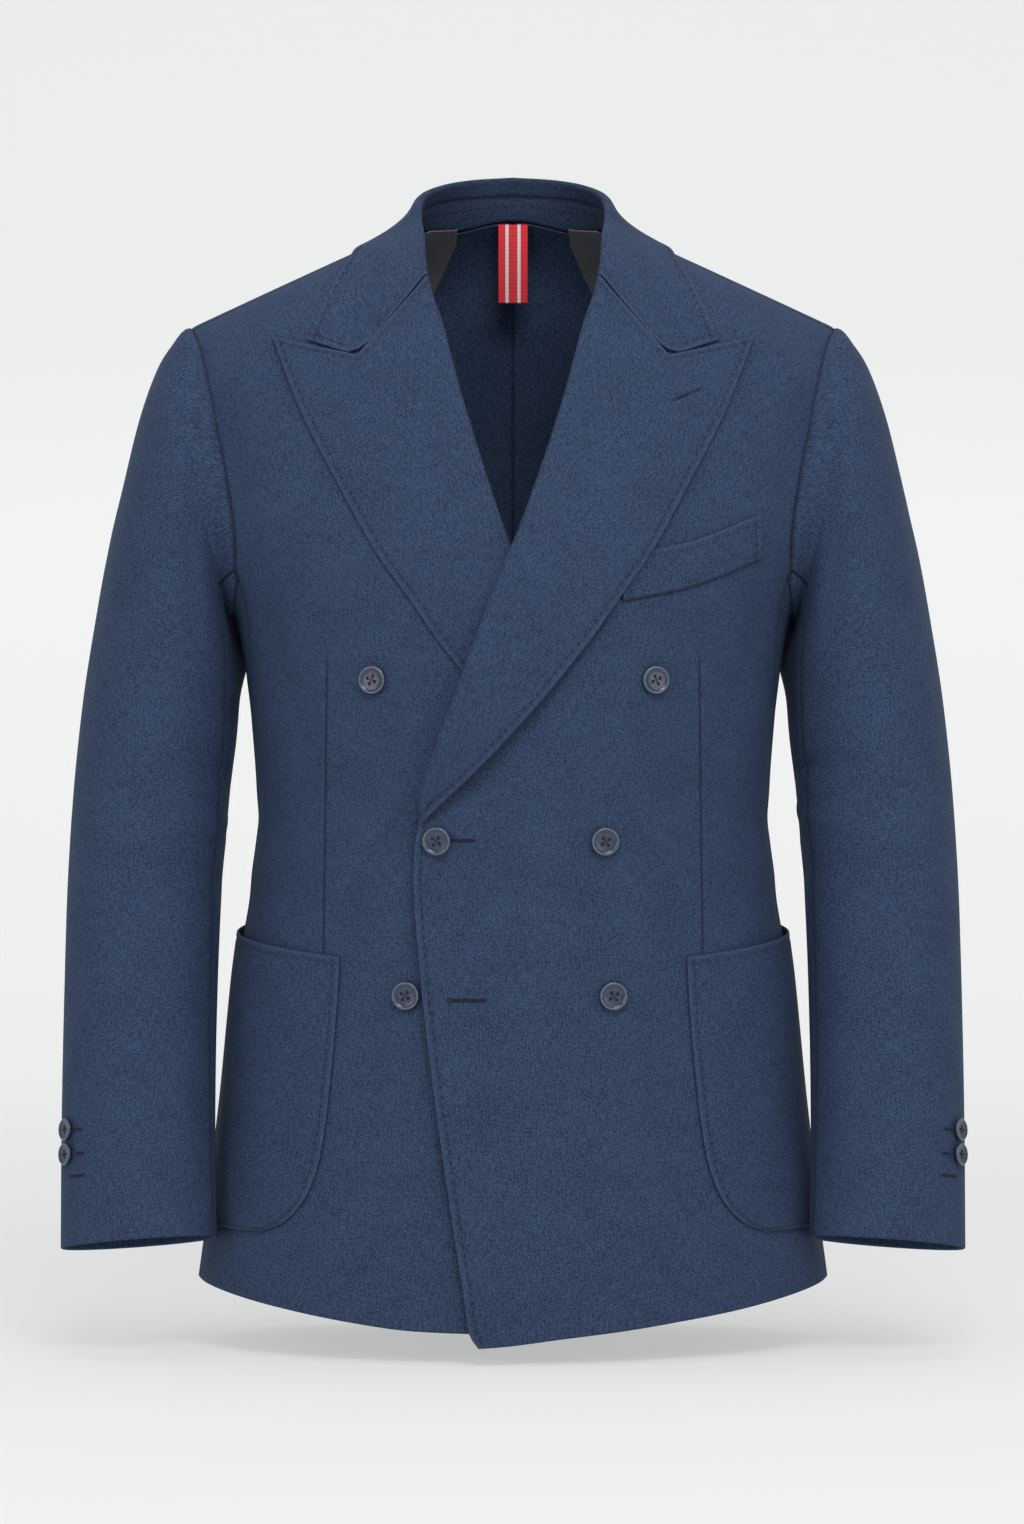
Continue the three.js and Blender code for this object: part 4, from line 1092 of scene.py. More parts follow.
@dataclass
class Threads:
    """Short bars of thread on the cloth, joined in one mesh."""

    name: str
    places: list[Points] = field(default_factory=list)
    faces: list[list[int]] = field(default_factory=list)
    sides: int = 6
    swell: float = 0.33
    rise: float = 0.2

    def add(self, centres: Points, ways: Points, normals: Points, length: float, radius: float) -> None:
        """Lays bars of thread.

        Args:
            centres: Middle of each bar.
            ways: Direction along each bar.
            normals: Direction out of the cloth.
            length: Length of a bar.
            radius: Its half thickness.
        """
        centres, ways, normals = (np.atleast_2d(a) for a in (centres, ways, normals))
        ways = unit(ways)
        across = unit(np.cross(ways, normals))
        turns = np.arange(self.sides) * 2 * math.pi / self.sides
        body = [centres - ways * length / 2]
        for end in (-self.swell, self.swell):
            middle = centres + ways * length * end
            body += [middle + radius * (math.cos(t) * across + math.sin(t) * normals) for t in turns]
        body.append(centres + ways * length / 2)
        first = sum(len(p) for p in self.places)
        per = len(body)
        self.places.append(np.stack(body, 1).reshape(-1, 3))
        n = self.sides
        for k in range(len(centres)):
            base = first + k * per
            low, high, tip = base + 1, base + 1 + n, base + per - 1
            for i in range(n):
                j = (i + 1) % n
                self.faces.append([base, low + i, low + j])
                self.faces.append([low + i, high + i, high + j, low + j])
                self.faces.append([high + i, tip, high + j])

    def join(self, other: "Threads") -> None:
        """Takes over the bars of another set."""
        first = sum(len(p) for p in self.places)
        self.places += other.places
        self.faces += [[corner + first for corner in face] for face in other.faces]

    def row(self, points: Points, normals: Points, pitch: float, length: float, radius: float) -> None:
        """Lays a row of running stitches.

        Args:
            points: The line that the stitches follow.
            normals: Direction out of the cloth along it.
            pitch: Distance from one stitch to the next.
            length: Length of a stitch.
            radius: Half thickness of the thread.
        """
        lengths = arc_lengths(points[None])[0]
        at = np.arange(pitch, lengths[-1] - pitch / 2, pitch)
        if not len(at):
            return
        before, middle, after = (sample(points, lengths, at + d) for d in (-0.5, 0, 0.5))
        normal = unit(sample(normals, lengths, at))
        self.add(middle + normal * radius * self.rise, after - before, normal, length, radius)

    def mesh(self, side: int = 1) -> Mesh:
        """Joins the bars into one mesh, mirrored where the side is -1."""
        faces = [face[::side] for face in self.faces]
        return new_mesh(self.name, mirrored(np.concatenate(self.places), side), faces)


@dataclass(frozen=True)
class Buttonhole:
    """A worked buttonhole: two overcast edges, a bar, and an eyelet or a second bar."""

    half: float = 1.15
    eyelet: bool = True
    pitch: float = 0.62
    thread: float = 0.3
    bar_thread: float = 0.42
    rise: float = 0.12
    bar_rise: float = 0.15
    eyelet_room: float = 1.6
    bar_room: float = 0.3
    eyelet_radius: float = 1.5
    eyelet_bar: float = 1.15
    eyelet_bars: int = 11
    eyelet_opens: float = 60.0

    def work(self, threads: Threads, line: Points, normals: Points) -> None:
        """Works it on the cloth.

        Args:
            threads: The stitching that it joins.
            line: Points along it, from the eyelet's end to the barred one.
            normals: Directions out of the cloth there.
        """
        lengths = arc_lengths(line[None])[0]
        first = self.eyelet_room if self.eyelet else self.bar_room
        at = np.arange(first, lengths[-1] - self.bar_room, self.pitch)
        up = unit(sample(normals, lengths, at))
        spots = sample(line, lengths, at) + up * self.rise
        across = unit(np.cross(unit(line[-1] - line[0]), up))
        for edge in (-1, 1):
            beside = across * edge * self.half * 0.62
            threads.add(spots + beside, across, up, self.half * 1.15, self.thread)
        for end in (-1,) if self.eyelet else (-1, 0):
            threads.add(line[end] + up[end] * self.bar_rise, across[end], up[end],
                        self.half * 2.1, self.bar_thread)
        if self.eyelet:
            way = unit(line[1] - line[0])
            turns = np.radians(np.linspace(self.eyelet_opens, 360 - self.eyelet_opens, self.eyelet_bars))
            spokes = np.cos(turns)[:, None] * way + np.sin(turns)[:, None] * across[0]
            centre = line[0] + way + up[0] * self.rise
            threads.add(centre + spokes * self.eyelet_radius, spokes, np.tile(up[0], (len(turns), 1)),
                        self.eyelet_bar, self.thread)


@dataclass(frozen=True)
class Dart:
    """The front's dart: a sewn line from under the chest into the pocket."""

    top_x: float = 123.0
    low_x: float = 125.8
    top_z: float = -277.0
    low_z: float = -478.0
    supports: tuple[float, ...] = (-2.6, -1.2, -0.45, 0.0, 0.45, 1.2, 2.6)
    sewn: Crease = Crease(0.0, 0.5, -1.0)
    swell: Crease = Crease(2.0, 1.1, 0.25)
    shade: Crease = Crease(0.0, 0.55, 1.0)
    begins: Pair = (271.0, 291.0)
    ends: Pair = (486.0, 496.0)

    def x_at(self, z: Number) -> Number:
        """Distance of the dart from the centre line at a height."""
        return lerp(self.top_x, self.low_x, (self.top_z - z) / (self.top_z - self.low_z))

    def marks(self, rows: Points) -> list[Points]:
        """Lengths along each row of a front where the dart needs points."""
        lengths = arc_lengths(rows)
        found = []
        for off in self.supports:
            found.append(np.array([
                np.interp(self.x_at(row[len(row) // 2, 2]) + off, row[:, 0], length)
                for row, length in zip(rows, lengths)]))
        return found

    def relief(self, points: Points) -> tuple[Points, Points]:
        """Dip of the dart, with painted shade along it.

        Args:
            points: Points of a front.

        Returns:
            How far the cloth moves out there, and the painted shade along the dart.
        """
        off = points[..., 0] - self.x_at(points[..., 2])
        down = -points[..., 2]
        fade = smoothstep(down, *self.begins) * (1 - smoothstep(down, *self.ends))
        dip = self.sewn.at(off) + self.swell.at(np.abs(off))
        return fade * dip, fade * self.shade.at(off)


@dataclass(frozen=True)
class BodyPanels:
    """Fronts, side panels and backs, all on one form."""

    skirt_z: float = -640.0
    back_hem_z: float = -706.0
    under_rise: float = 7.0
    under_hem: Pair = (-25.0, 85.0)
    back_hem_x: float = 90.0
    neck_angle: float = 44.0
    over_angle: float = -19.0
    side_x: float = 216.0
    seam_x: float = 190.0
    first_guess: float = 100.0
    rounds: int = 8
    armhole_from: Pair = (2.0, 2.12)
    calm: Pair = (20.0, 90.0)
    dip_from: float = -360.0
    weave_radius: float = 190.0
    columns: int = 100
    rows: int = 90
    dart: Dart = Dart()
    buttonholes: tuple[Triple, ...] = ((-44.0, -25.6, -402.6), (-42.7, -17.7, -507.7))

    def hem(self, x: Number, back: bool, under: bool) -> Number:
        """Height of the hem at a distance from the centre line."""
        front = HEM.at("z", x)
        if under:
            return front + self.under_rise * (1 - smoothstep(x, *self.under_hem))
        if not back:
            return front
        side_z = HEM.at("z", self.side_x)
        return lerp(self.back_hem_z, side_z, smoothstep(x, self.back_hem_x, self.side_x))

    def height(self, level: Number, x: Number, back: bool = False, top: float = SHOULDER_SEAM,
               under: bool = False) -> Number:
        """Height of a row.

        Args:
            level: 0 at the hem, 1 at the skirt, 2 at the armpit, 3 where the shoulder
                begins to roll and 4 at the piece's top.
            x: Distance from the centre line.
            back: Whether the row is on the back.
            top: Angle of the shoulder roll at level 4.
            under: Whether the row is on the front that the other one laps over.

        Returns:
            The height at each place.
        """
        ridge = FORM.ridge(x)
        angle = np.radians(lerp(90.0, top, level - 3))
        skirt = lerp(self.hem(x, back, under), self.skirt_z, level)
        flank = lerp(self.skirt_z, ARMPIT_Z, level - 1) + 0 * x
        chest = lerp(ARMPIT_Z, ridge - FORM.roll, level - 2)
        shoulder = ridge - FORM.roll * (1 - np.cos(angle))
        return np.select([level <= 1, level <= 2, level <= 3], [skirt, flank, chest], shoulder)

    def meet(self, level: Number, seam: Callable[[Number], Number], **where: object) -> Number:
        """Distance from the centre line where each row meets a seam."""
        x = self.first_guess + 0 * level
        for _ in range(self.rounds + 1):
            x = seam(self.height(level, x, **where))
        return x

    def x_on_row(self, level: Number, turn: Number, **where: object) -> Number:
        """Distance from the centre line where each row passes a turn round the body."""
        return self.meet(level, lambda z: BODY.at("half", z) * np.sin(turn), **where)

    def outer_turn(self, level: Number, key: str, **where: object) -> Number:
        """Turn where each row ends, at the armhole or at the side seam."""
        x = self.meet(level, lambda z: ARMHOLE.at(key, z), **where)
        t = FORM.turn_at(x, self.height(level, x, **where)) - SEAM_TURN
        seam = np.radians(SIDE_SEAMS.at(key, self.height(level, self.seam_x + 0 * level, **where)))
        arm = math.pi - t if key == "back" else t
        sewn = seam + SEAM_TURN if key == "back" else seam - SEAM_TURN
        return lerp(sewn, arm, smoothstep(level, *self.armhole_from))

    def levels(self, low: float, high: float) -> Points:
        """Levels of the rows of a panel, as a column."""
        return np.linspace(low, high, int(self.rows * (high - low)) + 1)[:, None]

    def lay(self, side: int, turn: Points, along: Points, x: Points, z: Points) -> tuple[Points, Points]:
        """Lays a grid on the form with the lap and the folds.

        Args:
            side: 1 on the wearer's left, -1 on the right.
            turn: Turn round the body.
            along: Distance below the shoulder ridge.
            x: Distance from the centre line.
            z: Height.

        Returns:
            The points and their weave coordinates.
        """
        lap = np.where(turn < QUARTER, LAP.lift(side, x, z), 0)
        calm = smoothstep(-z, *self.calm)
        out = lap + calm * BODY_FOLDS.lift(side, np.degrees(turn), z) - WALL / 2
        turn, along = np.broadcast_arrays(turn, along)
        return FORM.on(turn, along, out), np.stack([turn * self.weave_radius, along], -1)

    def front(self, side: int) -> Patch:
        """Cuts a front, from its edge to the side seam and the armhole."""
        level = self.levels(0, 4)
        where = {"under": side < 0}
        x0 = self.meet(level, lambda z: INNER_EDGE.at("x", z), **where)
        t0 = FORM.turn_at(x0, self.height(level, x0, **where))
        turn = lerp(t0, self.outer_turn(level, "front", **where), np.linspace(0, 1, self.columns))
        x = self.x_on_row(level, turn, **where)
        z = self.height(level, x, **where)
        points, grain = self.lay(side, turn, FORM.along_for(FORM.ridge(x) - z), x, z)
        edges = rims(Edge.PLAIN, Edge.SEAM, Edge.FOLDED, Edge.SEAM)
        return Patch(points, edges, grain, marks=self.dart.marks, relief=self.dart.relief)

    def back(self, side: int) -> Patch:
        """Cuts a back, from the hem over the shoulder ridge to the shoulder seam."""
        level = self.levels(0, 4)
        where = {"back": True, "top": self.over_angle}
        angle = lerp(90.0, self.over_angle, np.clip(level - 3, 0, 1))
        inner = np.where(angle > self.neck_angle, 0.0, NECKLINE_BY_ANGLE.at("x", angle))
        t0 = math.pi - FORM.turn_at(inner, self.height(level, inner, **where)) - SEAM_TURN
        over = self.meet(level, lambda z: ARMHOLE.at("front", z), **where)
        t_over = math.pi - FORM.turn_at(over, self.height(level, over, **where)) + SEAM_TURN
        t1 = np.where(angle < 0, t_over, self.outer_turn(level, "back", **where))
        turn = lerp(t0, t1, np.linspace(0, 1, self.columns))
        x = self.x_on_row(level, turn, **where)
        z = self.height(level, x, **where)
        rolled = np.radians(angle) * FORM.roll + 0 * x
        along = np.where(level > 3, rolled, FORM.along_for(FORM.ridge(x) - z))
        points, grain = self.lay(side, turn, along, x, z)
        return Patch(points, rims(Edge.PLAIN, Edge.SEAM, Edge.SEAM, Edge.SEAM), grain)

    def side(self, side: int) -> Patch:
        """Cuts a side panel, which dips under the armhole at its top."""
        level = self.levels(0, 2)
        share = np.linspace(0, 1, self.columns // 2)
        low = self.height(level, self.seam_x + 0 * level)
        t0 = np.radians(SIDE_SEAMS.at("front", low)) + SEAM_TURN
        t1 = np.radians(SIDE_SEAMS.at("back", low)) - SEAM_TURN
        turn = lerp(t0, t1, share)
        x = np.where(turn > QUARTER, self.x_on_row(level, turn, back=True), self.x_on_row(level, turn))
        z = np.where(turn > QUARTER, self.height(level, x, True), self.height(level, x))
        hollow = ARMHOLE_DEPTH * (1 - (2 * share - 1) ** 2)
        z = z - hollow * smoothstep(low, self.dip_from, ARMPIT_Z)
        points, grain = self.lay(side, turn, FORM.along_for(FORM.ridge(x) - z), x, z)
        return Patch(points, rims(Edge.PLAIN, Edge.SEAM, Edge.SEAM, Edge.SEAM), grain)


def bend_over(stops: Sequence[Pair], share: float, f: Number) -> list[Number]:
    """Finds how far two straight legs over a stop pass from the straight way.

    Args:
        stops: Where the way starts, bends and ends.
        share: Share of the way at the stop between.
        f: Share of the way.

    Returns:
        The difference in distance from the centre line, and in height.
    """
    low = np.asarray(f) < share
    u = np.where(low, f / share, (f - share) / (1 - share))
    return [np.where(low, lerp(a, b, u), lerp(b, c, u)) - lerp(a, c, f) for a, b, c in zip(*stops)]


@dataclass(frozen=True)
class Lapels:
    """Peak lapels: a soft roll at the front's edge, then a leaf that lies on the front."""

    gorge: Pair = (59.5, -29.8)
    notch: Pair = (103.2, -81.8)
    peak: Pair = (160.0, -67.6)
    break_z: float = -385.0
    foot_z: float = -389.0
    notch_share: float = 0.42
    top_share: float = 0.3
    top_bend: float = 1.4
    heads_for: float = 0.1
    settles: float = 0.85
    belly: float = 0.7
    belly_from: float = 0.2
    belly_to: float = 0.15
    roll_turns: Pair = (-90.0, 72.0)
    rows: int = 110
    buttonhole: tuple[Pair, Pair] = ((124.0, -103.5), (105.9, -111.2))

    def place(self, k: Number, f: Number) -> tuple[Number, Number]:
        """Finds where the leaf lies.

        Args:
            k: Share of the way down the lapel.
            f: Share of the way from the roll to the edge.

        Returns:
            Distance from the centre line, and height.
        """
        roll_z = lerp(self.gorge[1], self.break_z, k)
        roll_x = INNER_EDGE.at("x", roll_z)
        edge_z = lerp(self.peak[1], self.foot_z, k)
        edge_x = LAPEL_EDGE.at("x", edge_z)
        dip = np.maximum(1 - k / self.top_share, 0) ** self.top_bend
        bend_x, bend_z = bend_over((self.gorge, self.notch, self.peak), self.notch_share, f)
        return lerp(roll_x, edge_x, f) + dip * bend_x, lerp(roll_z, edge_z, f) + dip * bend_z

    def patch(self, side: int) -> Patch:
        """Cuts a lapel.

        Args:
            side: 1 for the left lapel, -1 for the right one.

        Returns:
            The cloth, on the wearer's left.
        """
        hand = "left" if side > 0 else "right"
        k = np.linspace(0, 1, self.rows)[:, None]
        roll_z = lerp(self.gorge[1], self.break_z, k)
        roll_x = INNER_EDGE.at("x", roll_z)
        radius = LAPEL_ROLL.at(f"{hand}_roll", roll_z)
        clear = LAPEL_ROLL.at(f"{hand}_edge", lerp(self.peak[1], self.foot_z, k))
        base = front_out(side, roll_x, roll_z) - WALL / 2
        angles = np.linspace(*self.roll_turns, 28)
        arc = roll_arc(roll_x, roll_z, self.place(k, self.heads_for), radius, base, angles)
        low = np.linspace(0, self.notch_share, 22)
        f = np.concatenate([low, np.linspace(self.notch_share, 1, 30)[1:]])[None, :]
        x, z = self.place(k, f)
        rise = lerp(2 * radius, clear, smoothstep(f, 0, self.settles))
        ends = smoothstep(k, 0, self.belly_from) * smoothstep(1 - k, 0, self.belly_to)
        swell = self.belly * np.sin(math.pi * f) * ends
        leaf = FORM.front_at(x, z, front_out(side, x, z) - WALL / 2 + rise + swell)
        corner = len(angles) + len(low) - 1
        supports = [*range(5, len(angles), 4), len(angles), corner]
        return Patch(np.concatenate([arc, leaf], axis=1),
                     rims(Edge.FOLDED, Edge.PLAIN, Edge.ROLLED, Edge.FOLDED),
                     marks=lambda rows: list(arc_lengths(rows).T[supports]))


def roll_arc(x: Points, z: Points, heading: tuple[Number, Number], radius: Number, base: Number,
             angles: Points) -> Points:
    """Lays points across a soft roll that starts at the edge of a front.

    Args:
        x: Distance of the edge from the centre line, as a column.
        z: Height of the edge, as a column.
        heading: Place on the leaf that the roll turns towards.
        radius: Radius of the roll.
        base: How far its foot stands off the form.
        angles: Angles round the roll in degrees, -90 at its foot.

    Returns:
        Rows of points.
    """
    start = FORM.front_at(x, z, 0.0)
    normal = FORM.front_at(x, z, 1.0) - start
    way = unit(FORM.front_at(*heading, 0.0) - start)
    turn = np.radians(angles)[None, :]
    back = -ROLL_GAP - radius * np.cos(turn)
    rise = base + radius * (1 + np.sin(turn))
    return start + way * back[..., None] + normal * rise[..., None]


@dataclass(frozen=True)
class Collar:
    """Collar with its leg, fold and fall, and the stand under it."""

    corner: Pair = (136.8, -70.0)
    roll: float = 2.6
    clearance: float = 2.9
    swell: float = -6.0
    gorge_gap: float = 0.6
    end_share: float = 0.6
    end_reach: float = 1.1
    end_bend: float = 1.3
    stand_from: float = 2.6
    stand_lift: float = 1.7
    stand_gap: float = 0.5
    leg_lengths: Pair = (1.5, 10.0)
    leg_grows: Pair = (1.6, 2.6)
    turns_up: Pair = (1.3, 2.4)
    settles: float = 0.7
    shade_depth: float = 0.45
    shade_ends: Pair = (10.0, 15.0)
    shade_from: Pair = (-30.0, 0.0)
    sections: int = 84
    lapels: Lapels = Lapels()

    def along(self, table: Table, s: Number) -> Points:
        """Points of the fold or of the edge."""
        return point3(table.at("x", s), table.at("y", s), table.at("z", s))

    def leg(self, s: Number) -> Number:
        """Length of the inner leg, which runs out towards the gorge."""
        return lerp(*self.leg_lengths, smoothstep(s, *self.leg_grows))

    def neck_seam(self, s: Number) -> Points:
        """Middle of the back's cloth at the neck seam."""
        angle = np.radians(NECKLINE.at("angle", s))
        x = NECKLINE.at("x", s)
        z = FORM.ridge(x) - FORM.roll * (1 - np.cos(angle))
        return FORM.on(math.pi - FORM.turn_at(x, z), angle * FORM.roll, -WALL / 2)

    def on_front(self, s: Points, fold: Points, edge: Points) -> list[Points]:
        """Lays the sections that lie on the front, continuing the lapel's roll.

        Args:
            s: Place along the collar of each section.
            fold: Fold point of each section.
            edge: Edge point of each section.

        Returns:
            The points across the collar, each for all the sections.
        """
        x0 = INNER_EDGE.at("x", fold[:, 2])
        dip = np.maximum(1 - s / self.end_reach, 0) ** self.end_bend
        stops = self.lapels.gorge, self.lapels.notch, self.corner

        def place(f: float) -> tuple[Points, Points]:
            """Place at a share of the way across."""
            bend_x, bend_z = bend_over(stops, self.end_share, f)
            x, z = lerp(x0, edge[:, 0], f), lerp(fold[:, 2], edge[:, 2], f)
            return x + dip * bend_x, z + dip * (bend_z + self.gorge_gap)

        column = [a[:, None] for a in (x0, fold[:, 2], *place(self.lapels.heads_for))]
        arc = roll_arc(column[0], column[1], (column[2], column[3]), self.roll, -WALL / 2,
                       np.array([-90, -55, -20, 15, 50]))
        leaf = []
        for f in np.linspace(0, 1, 7):
            x, z = place(f)
            out = lerp(2 * self.roll, self.clearance, smoothstep(f, 0, self.settles))
            leaf.append(FORM.front_at(x, z, out - WALL / 2 + 0 * x))
        return [*arc.transpose(1, 0, 2), *leaf]

    def on_neck(self, fold: Points, edge: Points, foot: Points, long: Points) -> list[Points]:
        """Lays the sections where the collar stands round the neck.

        Args:
            fold: Fold point of each section.
            edge: Edge point of each section.
            foot: Point of the neck seam below each section.
            long: Length of the inner leg.

        Returns:
            The points across the collar, each for all the sections.
        """
        away = unit((fold - np.array([0, FORM.ridge_y, 0])) * np.array([1, 1, 0]))
        down = unit(foot - fold)
        heights = [long, (long + self.roll) / 2, np.minimum(self.roll, long / 3)]
        leg = [fold + down * h[:, None] for h in heights]
        up = np.array([0, 0, self.roll])
        crown = [fold + away * a * self.roll + up * b for a, b in ((-0.2, 0.45), (0.55, 0.9))]
        leaf = []
        for f in np.linspace(0, 1, 7):
            straight = lerp(fold + away * 2 * self.roll * (1 - f), edge, f)
            bowed = straight + away * self.swell * math.sin(math.pi * f)
            leaf.append(FORM.clear(bowed, self.clearance - WALL / 2))
        return [*leg, *crown, *leaf]

    def patch(self) -> Patch:
        """Cuts the collar, from its left end round the back to its right end."""
        s = np.linspace(0, 6, self.sections)
        fold = self.along(COLLAR_FOLD, s)
        plain = self.along(COLLAR_EDGE, s)
        edge = FORM.clear(plain, self.clearance - WALL / 2)
        neck = self.on_neck(fold, edge, self.neck_seam(np.maximum(s, 2)), self.leg(s))
        front = self.on_front(s, fold, plain)
        share = smoothstep(s, *self.turns_up)[:, None]
        half = np.stack([lerp(a, b, share) for a, b in zip(front, neck)], axis=1)
        smooth = smooth_through(both_halves(half), 4)
        supports = list(range(6, 26, 2))
        return Patch(smooth, rims(Edge.FOLDED, Edge.FOLDED, Edge.SEAM, Edge.FOLDED),
                     marks=lambda rows: list(arc_lengths(rows).T[supports]), relief=self.shade)

    def shade(self, points: Points) -> tuple[float, Points]:
        """Paints shade on the inner leg and the fold above it."""
        under = 1 - smoothstep(arc_lengths(points), *self.shade_ends)
        return 0.0, self.shade_depth * under * smoothstep(points[..., 1], *self.shade_from)

    def stand(self) -> Patch:
        """Cuts the stand, from the neck seam up to the collar's inner leg."""
        s = np.linspace(self.stand_from, 6, self.sections // 2)
        foot, fold = self.neck_seam(s), self.along(COLLAR_FOLD, s)
        height = np.linalg.norm(fold - foot, axis=1)
        up = unit(fold - foot)[:, None, :]
        top = height - self.leg(s) - self.stand_gap
        rise = lerp(self.stand_lift, top[:, None], np.linspace(0, 1, 8)[None, :])
        return Patch(both_halves(foot[:, None, :] + up * rise[..., None]),
                     rims(Edge.SEAM, Edge.SEAM, Edge.SEAM, Edge.SEAM), axis=BEHIND,
                     # The whole stand gets an even painted shade
                     relief=lambda points: (0.0, self.shade_depth))


def both_halves(rows: Points) -> Points:
    """Rows of the left half, then their mirror images back to the other end."""
    return np.concatenate([rows, mirrored(rows[-2::-1], -1)])


@dataclass(frozen=True)
class Sleeves:
    """Two-piece sleeves that hang from the armholes."""

    squareness: float = 2.1
    tip_x: float = 220.0
    rounds: int = 12
    cuff_rise: float = 6.5
    cuff_from: Pair = (9.0, 12.0)
    gap_side: float = 1.0
    gap_under: float = 3.2
    seam_turn: float = 0.4
    underarm: float = 9.0
    underarm_turn: float = 212.0
    underarm_width: float = 26.0
    underarm_ends: Pair = (3.6, 5.2)
    hangs: Triple = (0.99, 0, -0.15)
    tuck: tuple[Pair, ...] = ((3.2, 3.2), (1.8, 2.9), (0.9, 1.9), (0.3, 0.8))
    weave_radius: float = 0.95
    rows: int = 190
    columns: int = 90
    axis: Pair = (246.0, -20.0)
    buttonholes: tuple[Triple, ...] = ((11.02, 38.5, 48.0), (11.23, 41.5, 51.0), (11.42, 33.0, 51.5))

    def armhole(self, out: float = -WALL / 2) -> Points:
        """Points of the armhole seam, from the shoulder tip down the front and up the back.

        Args:
            out: How far they are moved out from the form.

        Returns:
            The points.
        """
        tip = self.tip_x
        for _ in range(self.rounds):
            tip = float(ARMHOLE.at("front", FORM.ridge(tip)))
        u = np.linspace(0, 1, 60)
        z = lerp(FORM.ridge(tip), ARMPIT_Z, u * u)
        front = FORM.front_at(np.minimum(ARMHOLE.at("front", z), tip), z, out + 0 * z)
        back = FORM.back_at(np.minimum(ARMHOLE.at("back", z), tip), z, out + 0 * z)
        f = np.linspace(0, 1, 42)[1:-1]
        t = np.radians(lerp(SIDE_SEAMS.at("front", ARMPIT_Z), SIDE_SEAMS.at("back", ARMPIT_Z), f))
        low = ARMPIT_Z - ARMHOLE_DEPTH * (1 - (2 * f - 1) ** 2)
        under = FORM.at(t, BODY.at("half", low) * np.sin(t), low, out + 0 * t)
        return np.concatenate([front, under, back[::-1]])

    def seam_at(self, turn: Points, over: float = 0.0, deep: float = 0.0) -> Points:
        """Finds points where the sleeve is sewn in.

        Args:
            turn: Turn round the armhole in degrees.
            over: How far they are moved towards the body.
            deep: How far they are moved into it.

        Returns:
            The points.
        """
        loop = self.armhole()
        inner = loop - deep * (self.armhole(WALL / 2 + 0.2) - loop) / (WALL + 0.2)
        lengths = arc_lengths(loop[None])[0]
        at = (np.asarray(turn) / 360 % 1) * lengths[-1]
        gap = lerp(self.gap_side, self.gap_under, np.maximum(-np.cos(np.radians(turn)), 0))
        return sample(inner, lengths, at) + (gap - over)[..., None] * np.array(self.hangs)

    def ring(self, s: Number, turn: Number) -> Points:
        """Points of a ring of the sleeve below its head."""
        angle = np.radians(turn)
        across, forward = (np.sign(way) * np.abs(way) ** (2 / self.squareness)
                           for way in (np.cos(angle), np.sin(angle)))
        out_x, out_z, in_x, in_z = (SLEEVE.at(key, s) for key in ("out_x", "out_z", "in_x", "in_z"))
        behind = bell(np.asarray(turn) - self.underarm_turn, self.underarm_width)
        full = self.underarm * behind * (1 - smoothstep(s, *self.underarm_ends))
        return point3(
            (out_x + in_x) / 2 + across * (out_x - in_x) / 2 - full,
            SLEEVE.at("y", s) - forward * SLEEVE.at("deep", s),
            (out_z + in_z) / 2 + across * (out_z - in_z) / 2
            + self.cuff_rise * forward * smoothstep(s, *self.cuff_from))

    def point(self, s: Number, turn: Number) -> Points:
        """Finds points at the middle of the sleeve's cloth.

        Args:
            s: Place along the sleeve, 0 at the armhole and 12 at the cuff.
            turn: Turn round it in degrees: 0 outside, 90 front, 180 inside, 270 back.

        Returns:
            The points.
        """
        s, turn = np.broadcast_arrays(np.asarray(s, float), np.asarray(turn, float))
        low = self.ring(np.maximum(s, 1), turn)
        start, first = self.seam_at(turn), self.ring(np.ones_like(s), turn)
        m1 = (self.ring(np.full_like(s, 1.02), turn) - first) / 0.02
        m0 = 1.5 * (first - start) - 0.5 * m1
        head = hermite(start, first - start, m0, m1, np.clip(s, 0, 1)[..., None])
        return np.where(s[..., None] < 1, head, low)

    def normal(self, s: Number, turn: Number) -> Points:
        """Outward directions of the sleeve."""
        round_it = self.point(s, turn + 1.0) - self.point(s, turn - 1.0)
        down = self.point(s + 0.1, turn) - self.point(np.maximum(s - 0.1, 0), turn)
        return unit(np.cross(round_it, down))

    def on(self, side: int, s: Number, turn: Number, out: float = 0.0) -> Points:
        """Points of a sleeve with its folds, moved out from the middle of the cloth."""
        s, turn = np.asarray(s, float), np.asarray(turn, float)
        wrapped = (turn + 180) % 360 - 180
        lift = SLEEVE_FOLDS.lift(side, wrapped, s) * smoothstep(s, 0.2, 1.6)
        return self.point(s, turn) + self.normal(s, turn) * (lift + out)[..., None]

    def patch(self, side: int, top: bool) -> Patch:
        """Cuts the upper or the under piece of a sleeve.

        Args:
            side: 1 for the left sleeve, -1 for the right one.
            top: Whether it is the upper piece.

        Returns:
            The cloth, on the wearer's left.
        """
        s = 12 * np.linspace(0, 1, self.rows)[:, None]
        elbow, forearm = SLEEVE_SEAMS.at("elbow", s), SLEEVE_SEAMS.at("forearm", s)
        start, stop = (elbow, forearm) if top else (forearm, elbow + 360)
        f = np.linspace(0, 1, self.columns)[None, :]
        turn = lerp(start + self.seam_turn, stop - self.seam_turn, f)
        tuck = [self.seam_at(turn[0], over, deep) for over, deep in self.tuck]
        points = np.concatenate([tuck, self.on(side, s + 0 * turn, turn)])
        turn = np.concatenate([turn[:1]] * len(tuck) + [turn])
        length = arc_lengths(points.transpose(1, 0, 2)).T
        apart = 0 if top else 400
        grain = np.stack([turn * self.weave_radius + apart, length - length[-1]], -1)
        edges = rims(Edge.TUCKED, Edge.PLAIN, Edge.SEAM, Edge.SEAM)
        return Patch(points, edges, grain, axis=self.axis)


